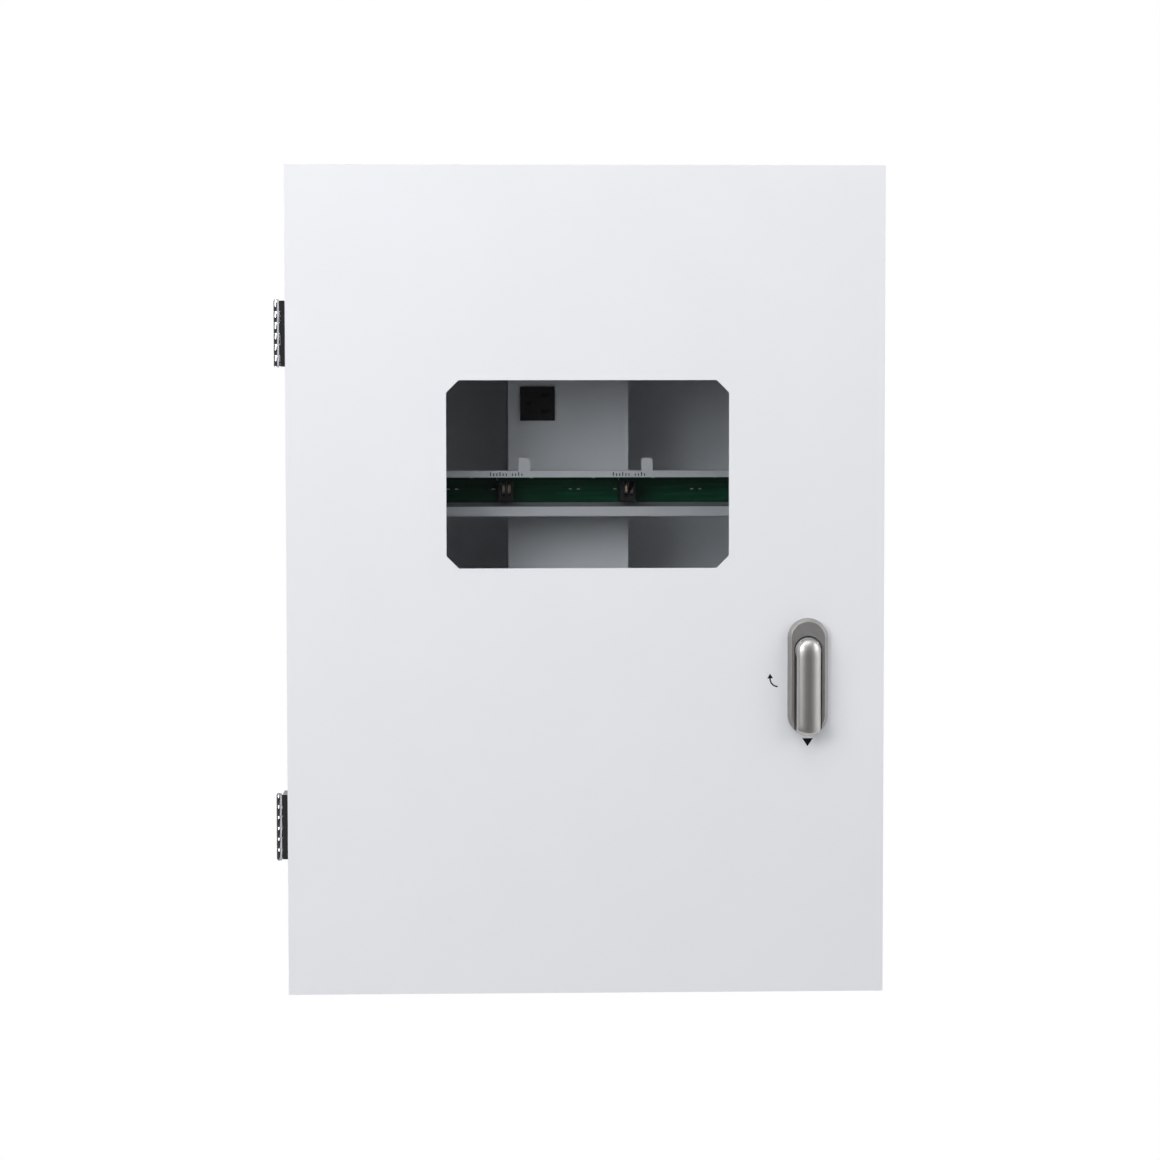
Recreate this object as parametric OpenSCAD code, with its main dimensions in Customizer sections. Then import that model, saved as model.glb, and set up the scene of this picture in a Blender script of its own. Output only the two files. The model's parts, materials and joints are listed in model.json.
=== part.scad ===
// Wall-hung fire alarm control panel: a folded sheet-steel cabinet with a hinged
// door, a viewing window, a lift-and-turn handle, a rack of loop cards, a main
// board, a mains column and two standby batteries.
// The wall is the plane y = 0, the door faces -Y and +Z is up.

/* [Cabinet] */
// Width of the cabinet body
cab_w = 500; // [498:1:510]
// Height of the cabinet body
cab_h = 695; // [693:1:705]
// Depth of the cabinet body, without its door
cab_d = 180; // [178:1:200]
// Thickness of the sheet steel
sheet = 1.5; // [1.2:0.1:1.8]
// Height of the rain channel lip in front of the body
lip_h = 16; // [14:1:16]

/* [Door] */
// How far the door reaches past the body on each side
door_over = 2.5; // [2:0.5:4]
// Depth of the door pan
door_t = 20; // [20:1:24]
// Gap between the door pan and the body
door_gap = 3; // [3:0.5:4]
// Width of the window cut-out
win_w = 238.5; // [220:0.5:240]
// Height of the window cut-out
win_h = 158.5; // [140:0.5:160]
// Size of the window's 45 degree corners
win_cut = 10.5; // [6:0.5:14]
// Sideways place of the window's centre
win_x = 1.5; // [-3:0.5:3]
// Height of the window's centre
win_z = 90.5; // [86:0.5:92]

/* [Hinges] */
// Height of each hinge's centre above and below the middle
hinge_z = 209.5; // [180:0.5:240]
// Length of one hinge
hinge_l = 55.5; // [50:0.5:60]
// Radius of the hinge barrel
barrel_r = 2.5; // [2.3:0.1:2.7]
// Distance of the hinge axis from the door's edge
barrel_out = 8.2; // [8:0.1:9]

/* [Handle] */
// Sideways place of the handle
handle_x = 187.5; // [184:0.5:188]
// Height of the handle's turning axis
hub_z = -58.6; // [-70:0.1:-50]
// Width of the handle's base
base_w = 34; // [33:0.5:36]
// Width of the lever
lever_w = 20.2; // [18:0.1:20.4]
// Height of the lever's crown above the door
lever_h = 17.3; // [17:0.1:19]

/* [Rack] */
// Distance from the wall to the front of the card rails
rack_y = 137; // [132:1:140]
// Width taken by one loop card
card_pitch = 106; // [104:1:106]
// Left end of the first loop card
card_x = -180.5; // [-182:0.5:-178]
// Number of loop cards
cards = 3; // [1:1:3]

/* [Column] */
// Left side of the mains column
col_x = -64.3; // [-66:0.1:-60]
// Width of the mains column
col_w = 105.7; // [104:0.1:108]
// Distance from the wall to the front of the mains column
col_y = 83; // [80:1:90]

/* [Hidden] */
$fn = 48;

// Clearances: a face laid against a face, and a shaft in its bore
lay = 0.05;
run = 0.05;

// Cabinet: the lip stands in from the outside, and the flange closes the gap
lip_in = 12;
lip_x = cab_w / 2 - lip_in;
lip_z = cab_h / 2 - lip_in;
wall_hole = [200, 333];
wall_hole_r = 4.25;
stud_at = [218, 312];
plate_y = -10;
plate_t = 2;
front_y = plate_y - plate_t;
earth_stud = [-120, -140];

// Top gland plate and cable entries
gland = [310, 100];
entry_y = -90;
entry_x = [-105, -35, 35, 105];
mains_x = 190;
plug_x = [-190, -140];
neck_r = 13;
entry_r = 9;

// Door
door_w = cab_w + 2 * door_over;
door_h = cab_h + 2 * door_over;
rear_y = -cab_d - door_gap;
face_y = rear_y - door_t;
skin_y = face_y + sheet;
return_w = 12;
gasket_w = 12;
pane_t = 3;
seal_t = 1;
stiff_x = 220;
door_stud = [-196, -140];
retainer_x = [-139, -46, 46, 139];
retainer_z = 99;

// Hinge axis, in the middle of the gap behind the door
axis_x = -door_w / 2 - barrel_out;
axis_y = -cab_d - door_gap / 2;
pin_r = barrel_r / 2;
knuckles = 6;
leaf_t = 1.2;

// Handle: heights are measured out from the door's face
base_h = 7;
pocket_h = 3;
pocket_r = 11.8;
base_top = hub_z + 10.4;
base_low = hub_z - 54.7;
boss_r = 11.8;
shaft_r = 8;
pivot_h = 11.5;
pivot_z = hub_z + 6.1;
lug_w = 8;
lever_low = 7.3;
tongue_y = -cab_d + sheet + 0.3;
tongue_t = 3;
screw_sink = 1.6;
tongue_l = cab_w / 2 - 4 - handle_x;

// Rack
rail_x = [-191, 233];
rail_t = 1.2;
upper_lip = [86.7, 92.5];
lower_lip = [53.2, 61.4];
ledge_z = 64.4;
rail_back = -108;
card_y = -110.4;
card_t = 1.6;
tab_w = 10;
tab_z = 103.4;

// Lower boards, rails and batteries
board_x = [-184, -72];
board_z = [-155, -5];
board_y = -22;
button_at = [[-94, -122], [-78.5, -122]];
button_r = 3.5;
breaker_x = [70, 105.4];
breaker_z = -60;
toggle_y = -72;
rail_z = 235;
battery = [151, 65, 94];
tray_z = -318;
duct_x = [-232, -194];
duct_z = [-160, 300];
duct_d = 60;

POWDER = "whitesmoke";
ZINC = "silver";
NICKEL = "darkgray";
BOARD = "darkgreen";
BLACK = "#202226";

// ---- Helpers ----

// A range of values moved by c
function at(c, range) = [for (v = range) c + v];

// A block between two values along each axis
module block(x, y, z) translate([x[0], y[0], z[0]]) cube([x[1] - x[0], y[1] - y[0], z[1] - z[0]]);

// Round bars along each axis, between two values of that axis
module bar_x(x, y, z, r) translate([x[0], y, z]) rotate([0, 90, 0]) cylinder(h = x[1] - x[0], r = r);
module bar_y(x, y, z, r) translate([x, y[1], z]) rotate([90, 0, 0]) cylinder(h = y[1] - y[0], r = r);
module bar_z(x, y, z, r) translate([x, y, z[0]]) cylinder(h = z[1] - z[0], r = r);

// An outline in the X-Z plane, given depth between two values of y
module plate_y(y) translate([0, y[1], 0]) rotate([90, 0, 0]) linear_extrude(y[1] - y[0]) children();

// An outline in the Y-Z plane, given width between two values of x
module plate_x(x) translate([x[0], 0, 0]) rotate([90, 0, 90]) linear_extrude(x[1] - x[0]) children();

// A hexagon nut with its bore, its rear face at y[1]
module nut_y(x, y, z, flat, bore) {
    difference() {
        translate([x, y[1], z]) rotate([90, 0, 0]) cylinder(h = y[1] - y[0], d = flat / cos(30), $fn = 6);
        bar_y(x, [y[0] - 1, y[1] + 1], z, bore);
    }
}

// A pan-head screw whose shank goes towards +Y from the seat
module screw_y(x, y, z, r, l) {
    bar_y(x, [y, y + l], z, r);
    bar_y(x, [y - 0.9 * r, y], z, 1.85 * r);
}

// The same screw along Z; dir is the way its shank goes
module screw_z(x, y, z, r, l, dir) {
    bar_z(x, y, dir > 0 ? [z, z + l] : [z - l, z], r);
    bar_z(x, y, dir > 0 ? [z - 0.9 * r, z] : [z, z + 0.9 * r], 1.85 * r);
}

// A rectangle with 45 degree corners
function cut_corners(w, h, c) = [
    [-w / 2 + c, -h / 2], [w / 2 - c, -h / 2], [w / 2, -h / 2 + c], [w / 2, h / 2 - c],
    [w / 2 - c, h / 2], [-w / 2 + c, h / 2], [-w / 2, h / 2 - c], [-w / 2, -h / 2 + c]];

module window_outline(grow, cut)
    translate([win_x, win_z]) polygon(cut_corners(win_w + grow, win_h + grow, cut));

// An upright slot outline with round ends of radius r, between two centre heights
function slot_points(r, low, high) = concat(
    [for (a = [0:7.5:180]) [r * cos(a), high + r * sin(a)]],
    [for (a = [180:7.5:360]) [r * cos(a), low + r * sin(a)]]);

// ---- Leads: round tubes along smooth curves through hand-chosen points ----

function unit(v) = v / norm(v);
function cubic(a, b, c, d, t) = 0.5 * (2 * b + (c - a) * t + (2 * a - 5 * b + 4 * c - d) * t * t
    + (3 * b - a - 3 * c + d) * t * t * t);
function curve(p, n) = concat([for (i = [0:len(p) - 2], k = [0:n - 1])
    cubic(p[max(i - 1, 0)], p[i], p[i + 1], p[min(i + 2, len(p) - 1)], k / n)], [p[len(p) - 1]]);
function along(p, i) = unit(p[min(i + 1, len(p) - 1)] - p[max(i - 1, 0)]);
function square_to(u, t) = unit(u - (u * t) * t);

// A side direction for each point, carried along the curve without twist
function sides(p, first) = [for (i = 0, u = square_to(first, along(p, 0)); i < len(p);
    i = i + 1, u = i < len(p) ? square_to(u, along(p, i)) : u) u];

module lead(points, r, first = [0.3, 0.2, 0.9], steps = 4, edges = 8) {
    path = curve(points, steps);
    side = sides(path, first);
    rings = [for (i = [0:len(path) - 1], e = [0:edges - 1])
        let (t = along(path, i), u = side[i], v = cross(t, u), a = 360 * e / edges)
        path[i] + r * (cos(a) * u + sin(a) * v)];
    last = (len(path) - 1) * edges;
    polyhedron(rings, concat([[for (e = [0:edges - 1]) e]],
        [for (i = [0:len(path) - 2], e = [0:edges - 1]) let (a = i * edges, f = (e + 1) % edges)
            [a + e, a + edges + e, a + edges + f, a + f]],
        [[for (e = [edges - 1:-1:0]) last + e]]));
}

// ---- Cabinet ----

// The rear panel, with its wall holes and the welded studs that carry the mounting plate
module cabinet_back() color(POWDER) {
    difference() {
        block([-cab_w / 2, cab_w / 2], [-sheet, 0], [-cab_h / 2, cab_h / 2]);
        for (x = [-1, 1], z = [-1, 1])
            bar_y(x * wall_hole[0], [-sheet - 1, 1], z * wall_hole[1], wall_hole_r);
    }
    for (x = [-1, 1], z = [-1, 1]) {
        bar_y(x * stud_at[0], [plate_y + lay, -sheet], z * stud_at[1], 6);
        bar_y(x * stud_at[0], [-20, -sheet], z * stud_at[1], 3);
    }
}

// A side wall, folded in and then forward at its front edge
module side_wall() {
    z = [-lip_z + sheet + lay, lip_z - sheet - lay];
    block([cab_w / 2 - sheet, cab_w / 2], [-cab_d, -sheet - lay], [-cab_h / 2, cab_h / 2]);
    block([lip_x - sheet, cab_w / 2], [-cab_d, -cab_d + sheet], z);
    block([lip_x - sheet, lip_x], [-cab_d - lip_h, -cab_d + sheet], z);
}

module cabinet_sides() color(POWDER) {
    side_wall();
    mirror([1, 0, 0]) side_wall();
    bar_x([-cab_w / 2 + sheet, -cab_w / 2 + 16], earth_stud[0], earth_stud[1], 3);
}

// An end wall between the side walls, folded in the same way
module end_wall() {
    x = [-cab_w / 2 + sheet + lay, cab_w / 2 - sheet - lay];
    block(x, [-cab_d, -sheet - lay], [cab_h / 2 - sheet, cab_h / 2]);
    block(x, [-cab_d, -cab_d + sheet], [lip_z - sheet, cab_h / 2]);
    block([-lip_x, lip_x], [-cab_d - lip_h, -cab_d + sheet], [lip_z - sheet, lip_z]);
}

module cabinet_ends() color(POWDER) {
    difference() {
        end_wall();
        block([-138, 138], [entry_y - 36, entry_y + 36], [cab_h / 2 - sheet - 1, cab_h / 2 + 1]);
        gland_screws() bar_z(0, 0, [cab_h / 2 - sheet - 1, cab_h / 2 + 1], 2.05);
    }
    difference() {
        mirror([0, 0, 1]) end_wall();
        for (x = concat(plug_x, [mains_x]))
            bar_z(x, entry_y, [-cab_h / 2 - 1, -cab_h / 2 + sheet + 1], neck_r + 0.1);
    }
}

module gland_screws()
    for (x = [-147, 0, 147], y = [entry_y - 43, entry_y + 43]) translate([x, y, 0]) children();

module gland_plate() color(POWDER) difference() {
    block([-gland[0] / 2, gland[0] / 2], at(entry_y, [-gland[1] / 2, gland[1] / 2]),
        at(cab_h / 2, [0, sheet]));
    for (x = entry_x) bar_z(x, entry_y, at(cab_h / 2, [-1, sheet + 1]), neck_r + 0.1);
    gland_screws() bar_z(0, 0, at(cab_h / 2, [-1, sheet + 1]), 2.05);
}

// A rubber grommet: two flanges, a neck that fills the hole and a bore
module grommet(x, low, high) translate([x, entry_y, 0]) rotate_extrude()
    polygon([[entry_r, low - 2], [16, low - 2], [16, low - lay], [neck_r, low - lay], [neck_r, high + lay],
        [16, high + lay], [15.4, high + 1.6], [14.2, high + 2.2], [entry_r, high + 2.2]]);

module cable_grommets() color(BLACK) {
    for (x = entry_x) grommet(x, cab_h / 2 - lay, cab_h / 2 + sheet);
    mirror([0, 0, 1]) grommet(mains_x, cab_h / 2 - sheet, cab_h / 2);
}

module blanking_plugs() color(BLACK) for (x = plug_x) {
    bar_z(x, entry_y, [-cab_h / 2 - 1.8, -cab_h / 2 - lay], 16);
    bar_z(x, entry_y, [-cab_h / 2 - 1, -cab_h / 2 + 4], neck_r);
}

module mounting_plate() color(POWDER) difference() {
    block([-235, 235], [front_y, plate_y], [-320, 320]);
    for (x = [-1, 1], z = [-1, 1])
        bar_y(x * stud_at[0], [front_y - 1, plate_y + 1], z * stud_at[1], 3.3);
}

module plate_nuts() color(ZINC) for (x = [-1, 1], z = [-1, 1])
    nut_y(x * stud_at[0], at(front_y, [-5, -lay]), z * stud_at[1], 10, 3 + run);

// ---- Mains column and power supply ----

col_span = [col_x, col_x + col_w];
col_z = [-160, 325];
foot_z = [-128, -32, 200, 300];
socket_at = [col_x + 25.8, 150.5];

module column_cover() color(POWDER) {
    difference() {
        block(col_span, [-col_y, front_y - lay], col_z);
        block(col_span + [rail_t, -rail_t], [-col_y + rail_t, front_y + 1], col_z + [-1, -rail_t]);
        block(at(socket_at[0], [-13.8, 13.8]), [-col_y - 1, -col_y + 2], at(socket_at[1], [-13.8, 13.8]));
    }
    for (z = foot_z, s = [0, 1]) difference() {
        x = s == 0 ? [col_span[0] - 11, col_span[0] + 0.5] : [col_span[1] - 0.5, col_span[1] + 11];
        block(x, at(front_y, [-rail_t, -lay]), [z - 9, z + 9]);
        bar_y(foot_x(s), at(front_y, [-3, 1]), z, 2.05);
    }
}

function foot_x(s) = s == 0 ? col_span[0] - 6 : col_span[1] + 6;

module service_socket() color(BLACK) difference() {
    union() {
        block(at(socket_at[0], [-15.3, 15.3]), at(-col_y, [-2.2, -lay]), at(socket_at[1], [-15, 15]));
        block(at(socket_at[0], [-13.6, 13.6]), at(-col_y, [-1, 22]), at(socket_at[1], [-13.6, 13.6]));
    }
    block(at(socket_at[0], [-10.5, -4]), at(-col_y, [-3, 15]), at(socket_at[1], [-1.1, 1.1]));
    for (s = [-1, 1])
        block(at(socket_at[0], [3, 9.5]), at(-col_y, [-3, 15]), at(socket_at[1] + 7 * s, [-1.1, 1.1]));
}

psu_x = [-58, 36];
psu_z = [-110, 50];

module psu_case() color(ZINC) difference() {
    block(psu_x, [-50, front_y - lay], psu_z);
    block(psu_x + [1, -1], [-49, front_y - 1.2], psu_z + [-1, -1]);
    for (i = [0:8]) block(psu_x + [14, -14], [-51, -48], at(psu_z[0] + 48 + 11 * i, [0, 4]));
}

module psu_board() color(BOARD) {
    block(psu_x + [3, -3], [-22, -20.4], psu_z + [1, -4]);
    block([-44, -6], [-46, -22], [0, 34]);
    for (x = [8, 23]) bar_y(x, [-45, -22], 18, 6);
    block([-50, -44], [-44, -22], [-70, -20]);
    block([-30, 6], [-42, -22], [-62, -28]);
    block([-50, 30], [-38, -22], [-109, -92]);
}

// ---- Card rack ----

function card_start(i) = card_x + card_pitch * i;

module rack_brackets() color(ZINC) for (s = [0, 1]) {
    x = s == 0 ? [rail_x[0], rail_x[0] + rail_t] : [rail_x[1] - rail_t, rail_x[1]];
    inner = s == 0 ? [rail_x[0], rail_x[0] + 16] : [rail_x[1] - 16, rail_x[1]];
    z = [lower_lip[0] + rail_t + lay, upper_lip[1] - rail_t - lay];
    difference() {
        union() {
            block(x, [-rack_y + 3, front_y - lay], z);
            block(inner, [front_y - rail_t - lay, front_y - lay], z);
            for (h = [[z[0], z[0] + rail_t], [z[1] - rail_t, z[1]]])
                block(inner, [-rack_y + 3, -rack_y + 24], h);
        }
        bar_z(s == 0 ? rail_x[0] + 9 : rail_x[1] - 9, -rack_y + 14, z + [-1, 1], 2.05);
        bar_y(s == 0 ? rail_x[0] + 9 : rail_x[1] - 9, at(front_y, [-3, 1]), 73, 2.05);
    }
}

// The rails' rear walls stop short of the brackets' cheeks
module cheek_notches() for (x = [at(rail_x[0], [-1, rail_t + 0.1]), at(rail_x[1], [-rail_t - 0.1, 1])])
    block(x, [-rack_y + rail_t + 1, rail_back + 1],
        [lower_lip[0] + rail_t + 0.02, upper_lip[1] - rail_t - 0.02]);

module card_rail_upper() color(ZINC) {
    difference() {
        block(rail_x, [-rack_y, rail_back], [84, upper_lip[1]]);
        block(rail_x + [-1, 1], [-rack_y + rail_t, rail_back - rail_t + 0.6], [83, upper_lip[1] - rail_t]);
        block(rail_x + [-1, 1], [-rack_y - 1, -rack_y + 2], [83, upper_lip[0]]);
        for (x = [rail_x[0] + 9, rail_x[1] - 9]) bar_z(x, -rack_y + 14, at(upper_lip[1], [-2, 1]), 2.05);
        card_screws() bar_y(0, [rail_back - 2, rail_back + 1], 0, 1.52);
        cheek_notches();
    }
    for (i = [0:cards - 1]) plate_y([-rack_y, -rack_y + rail_t])
        translate([card_start(i) + 18.5, 0]) polygon(concat(
            [[0, upper_lip[1] - 0.5], [tab_w, upper_lip[1] - 0.5]],
            [for (a = [0:15:90]) [tab_w - 2 + 2 * cos(a), tab_z - 2 + 2 * sin(a)]],
            [for (a = [90:15:180]) [2 + 2 * cos(a), tab_z - 2 + 2 * sin(a)]]));
}

module card_rail_lower() color(ZINC) difference() {
    union() {
        block(rail_x, [-rack_y, -rack_y + rail_t], lower_lip);
        block(rail_x, [-rack_y, rail_back], [lower_lip[0], lower_lip[0] + rail_t]);
        block(rail_x, at(card_y, [-rail_t - 0.2, -0.2]), [lower_lip[0], ledge_z]);
    }
    for (x = [rail_x[0] + 9, rail_x[1] - 9]) bar_z(x, -rack_y + 14, at(lower_lip[0], [-1, 2]), 2.05);
    cheek_notches();
}

module card_screws()
    for (i = [0:cards - 1], dx = [30, 84]) translate([card_start(i) + dx, 0, 88.2]) children();

module loop_card(i) color(BOARD) difference() {
    block(at(card_start(i), [0.3, card_pitch - 0.3]), [card_y, card_y + card_t], [56, 91]);
    card_screws() bar_y(0, [card_y - 1, card_y + card_t + 1], 0, 1.6);
}

jack_slot = [4.6, 9.4];

module line_jacks() color(BLACK) for (i = [0:cards - 1]) difference() {
    block(at(card_start(i), [1, 14.3]), [card_y - 15.6, card_y - lay], [65.4, 82.9]);
    for (x = jack_slot) block(at(card_start(i) + x, [0, 2.4]), [card_y - 17, card_y - 5], [70.5, 82]);
}

module jack_contacts() color("gold") for (i = [0:cards - 1], x = jack_slot)
    block(at(card_start(i) + x, [0.3, 2.1]), [card_y - 14.6, card_y - 5.4], [72, 81]);

// ---- Main board ----

module board_corners() for (x = board_x + [5, -5], z = board_z + [5, -5]) translate([x, 0, z]) children();

module main_board() color(BOARD) difference() {
    block(board_x, [board_y - card_t, board_y], board_z);
    board_corners() bar_y(0, [board_y - 3, board_y + 1], 0, 1.6);
}

module board_standoffs() color("goldenrod") board_corners() difference() {
    bar_y(0, [board_y + lay, front_y - lay], 0, 3);
    bar_y(0, [board_y - 1, front_y - 0.8], 0, 1.5 + 0.02);
}

// Parts on the board's front face: place, width, height and how far they stand out
module on_board(x, z, w, h, t)
    block(at(x, [-w / 2, w / 2]), at(board_y - card_t, [-t - lay, -lay]), at(z, [-h / 2, h / 2]));

module board_chips() color(BLACK) {
    for (c = [[-128, -72, 22, 22, 1.6], [-152, -62, 11, 18, 1.4], [-103, -62, 11, 14, 1.4],
        [-128, -98, 10, 6, 1.6], [-150, -96, 12, 5, 3.6], [-104, -96, 12, 12, 4.5], [-168, -88, 6, 28, 9],
        [-84, -64, 9, 40, 9], [-168, -52, 6, 22, 9]]) on_board(c[0], c[1], c[2], c[3], c[4]);
}

module board_relays() color("royalblue") for (i = [0:3]) on_board(-160 + 21 * i, -18, 15.5, 19.5, 15.5);

module board_terminals() color("seagreen") for (i = [0:4]) difference() {
    on_board(-167 + 15.6 * i, -147, 15.3, 9, 11);
    for (k = [-1, 0, 1]) bar_z(-167 + 15.6 * i + 5 * k, board_y - card_t - 3.2, [-153, -146], 1.6);
}

module buzzer() color(BLACK) difference() {
    bar_y(-110, at(board_y - card_t, [-10, -lay]), -122, 8);
    bar_y(-110, at(board_y - card_t, [-11, -7]), -122, 1.4);
}

module button_switches() color("dimgray") for (b = button_at) difference() {
    block(at(b[0], [-6, 6]), at(board_y - card_t, [-7, -lay]), at(b[1], [-6, 6]));
    bar_y(b[0], at(board_y - card_t, [-8, -1]), b[1], button_r + run);
}

module button(b) {
    bar_y(b[0], at(board_y - card_t, [-14, -3]), b[1], button_r);
    bar_y(b[0], at(board_y - card_t, [-14, -9.5]), b[1], button_r + 1.7);
}

module button_reset() color("firebrick") button(button_at[0]);

module button_silence() color("gold") button(button_at[1]);

// ---- Rails for terminals and breaker ----

module din_rail(x, z) {
    y = front_y - lay;
    block(x, [y - 1, y], at(z, [-13.5, 13.5]));
    for (s = [-1, 1]) {
        block(x, [y - 7.5, y - 0.5], s > 0 ? at(z, [12.5, 13.5]) : at(z, [-13.5, -12.5]));
        block(x, [y - 7.5, y - 6.5], s > 0 ? at(z, [12.7, 17.5]) : at(z, [-17.5, -12.7]));
    }
}

module din_rails() color(ZINC) {
    din_rail([-184, -78], rail_z);
    din_rail([56, 226], rail_z);
    din_rail([58, 226], breaker_z);
}

clip_y = front_y - lay - 7.8;

module field_terminals() color("lightgray") {
    for (i = [0:14]) terminal(-180 + 6.2 * i);
    for (i = [0:24]) terminal(62 + 6.2 * i);
}

module terminal(x) plate_x([x, x + 6]) polygon([for (p = [[0, -22], [-24, -22], [-26, -17], [-42, -9],
    [-42, 9], [-26, 17], [-24, 22], [0, 22]]) [clip_y + p[0], rail_z + p[1]]]);

module breaker_body() color("gainsboro") difference() {
    plate_x(breaker_x) polygon([for (p = [[clip_y, -41.5], [-62, -41.5], [-62, -22.5], [-80, -22.5],
        [-80, 22.5], [-62, 22.5], [-62, 41.5], [clip_y, 41.5]]) [p[0], breaker_z + p[1]]]);
    block(breaker_x + [9.7, -10.1], [-81, toggle_y + 8.5], at(breaker_z, [-10, 10]));
    bar_x(breaker_x + [6, -6.4], toggle_y, breaker_z, 1.5 + run);
    for (x = [79, 96.4], z = [-31, 31]) bar_y(x, [-63, -54], breaker_z + z, 3);
}

module breaker_toggle() color(BLACK) {
    bar_x(breaker_x + [6.5, -6.9], toggle_y, breaker_z, 1.5);
    bar_x(breaker_x + [10, -10.4], toggle_y, breaker_z, 7);
    translate([0, toggle_y, breaker_z]) rotate([-30, 0, 0])
        block(breaker_x + [10, -10.4], [-18, 0], [-2.4, 2.4]);
}

module earth_bar() color("goldenrod") {
    block([125, 221], [-26, -19], [-135, -125]);
    for (x = [130, 216]) block(at(x, [-5, 5]), [-19.5, front_y - lay], [-134, -126]);
    for (i = [0:9]) bar_y(136.5 + 8 * i, [-29, -25], -130, 2.8);
}

// ---- Batteries ----

battery_y = [-16 - battery[1], -16];
battery_z = [tray_z + 1.8, tray_z + 1.8 + battery[2]];

module battery_case(x) {
    block(x, battery_y, battery_z + [0, -9]);
    block(x + [1, -1], battery_y + [1, -1], [battery_z[1] - 10, battery_z[1]]);
    for (t = [x[0] + 12, x[1] - 12])
        block(at(t, [-3.1, 3.1]), [-25.4, -24.6], [battery_z[1] - 1, battery_z[1] + 6.5]);
}

module battery_1() color("dimgray") battery_case([-155, -155 + battery[0]]);

module battery_2() color("dimgray") battery_case([155 - battery[0], 155]);

module battery_tray() color(ZINC) difference() {
    block([-158, 158], [battery_y[0] - 3, front_y - lay], [tray_z, tray_z + 22]);
    block([-156.5, 156.5], [battery_y[0] - 1.5, front_y - 1.6], [tray_z + 1.5, tray_z + 23]);
}

strap_z = [-268, -244];

module battery_strap() color(ZINC) {
    for (s = [-1, 1]) difference() {
        union() {
            block(s > 0 ? [156.6, 158] : [-158, -156.6], [battery_y[0] - 1.7, front_y - lay], strap_z);
            block(s > 0 ? [156.6, 174] : [-174, -156.6], at(front_y, [-1.4, -lay]), strap_z);
        }
        bar_y(s * 167, at(front_y, [-3, 1]), -256, 2.05);
    }
    block([-158, 158], at(battery_y[0], [-1.7, -0.3]), strap_z);
}

// ---- Wiring duct ----

module wiring_duct() color("gray") difference() {
    block(duct_x, [front_y - duct_d, front_y - lay], duct_z);
    block(duct_x + [1.6, -1.6], [front_y - duct_d - 1, front_y - 1.8], duct_z + [-1, 1]);
    for (z = [duct_z[0] + 8:12.5:duct_z[1] - 6])
        block(duct_x + [-1, 1], [front_y - duct_d + 5, front_y - 20], [z, z + 5]);
}

module duct_cover() color("gray") {
    block(duct_x + [-1, 1], at(front_y - duct_d, [-1.6, -lay]), duct_z);
    for (s = [0, 1])
        block(s == 0 ? [duct_x[0] - 1, duct_x[0] - 0.2] : [duct_x[1] + 0.2, duct_x[1] + 1],
            at(front_y - duct_d, [-1, 8]), duct_z);
}

// ---- Leads held inside the cabinet ----

tab_1 = -155 + battery[0] - 12;
tab_2 = 155 - battery[0] + 12;
LINK = [[tab_1, -25, -213], [tab_1, -28, -204], [0, -30, -200], [tab_2, -28, -204], [tab_2, -25, -213]];
PLUS = [[-143, -25, -213], [-143, -27, -200], [-120, -30, -188], [-60, -34, -184], [-36, -36, -168],
    [-34, -36, -140], [-34, -33, -109.4]];
MINUS = [[143, -25, -213], [143, -27, -200], [110, -30, -190], [20, -34, -186], [-16, -36, -170],
    [-20, -36, -140], [-20, -33, -109.4]];
LIVE = [[79, -46, -101.8], [79, -46, -116], [66, -44, -140], [40, -42, -170], [14, -40, -172], [4, -38, -150],
    [2, -33, -109.4]];
NEUTRAL = [[96.4, -46, -101.8], [96.4, -46, -120], [76, -44, -150], [44, -42, -178], [18, -40, -181],
    [12, -38, -152], [12, -33, -109.4]];
BOARD_FEED = [[-167, -26.8, -153.6], [-167, -28, -166], [-130, -32, -178], [-70, -38, -180], [-50, -40, -166],
    [-46, -38, -140], [-46, -33, -109.4]];

module internal_leads() color("brown") {
    for (p = [LINK, PLUS, MINUS]) lead(p, 1.6);
    for (p = [LIVE, NEUTRAL, BOARD_FEED]) lead(p, 1.4);
    for (x = [-143, tab_1, tab_2, 143])
        block(at(x, [-4, 4]), [-27.5, -25.45], [battery_z[1] + 0.5, battery_z[1] + 7.5]);
}

stud_x = -cab_w / 2 + 10;
EARTH = [[stud_x, -125.6, earth_stud[1]], [-238, -130, -152], [-231, -150, -176], [-222, -168, -190],
    [-210, -180, -180], [-199, -188, -160], [door_stud[0], -190.5, door_stud[1] - 5]];

module earth_lead() color("yellowgreen") {
    lead(EARTH, 2.2);
    difference() {
        bar_x(at(stud_x, [-1, 1]), earth_stud[0], earth_stud[1], 5.5);
        bar_x(at(stud_x, [-2, 2]), earth_stud[0], earth_stud[1], 3 + run);
    }
    difference() {
        bar_y(door_stud[0], [-191.5, -189.5], door_stud[1], 5.5);
        bar_y(door_stud[0], [-192, -189], door_stud[1], 3 + run);
    }
}

// ---- Hinges ----

function knuckle_z(h, i) = at(h - hinge_l / 2, hinge_l / knuckles * [i, i + 1] + [0.15, -0.15]);

module knuckle(z, web) difference() {
    union() {
        bar_z(axis_x, axis_y, z, barrel_r);
        block([axis_x, axis_x + barrel_r + 0.6], web, z);
    }
    bar_z(axis_x, axis_y, z + [-1, 1], pin_r + run);
}

module hinge_body_leaves() color("silver") for (h = [-hinge_z, hinge_z]) {
    block([axis_x + barrel_r + 0.3, -cab_w / 2], [axis_y + 0.3, axis_y + 28.3],
        at(h, [-hinge_l / 2, hinge_l / 2]));
    for (i = [0:2:knuckles - 1]) knuckle(knuckle_z(h, i), at(axis_y, [0.3, 2.1]));
}

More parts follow.
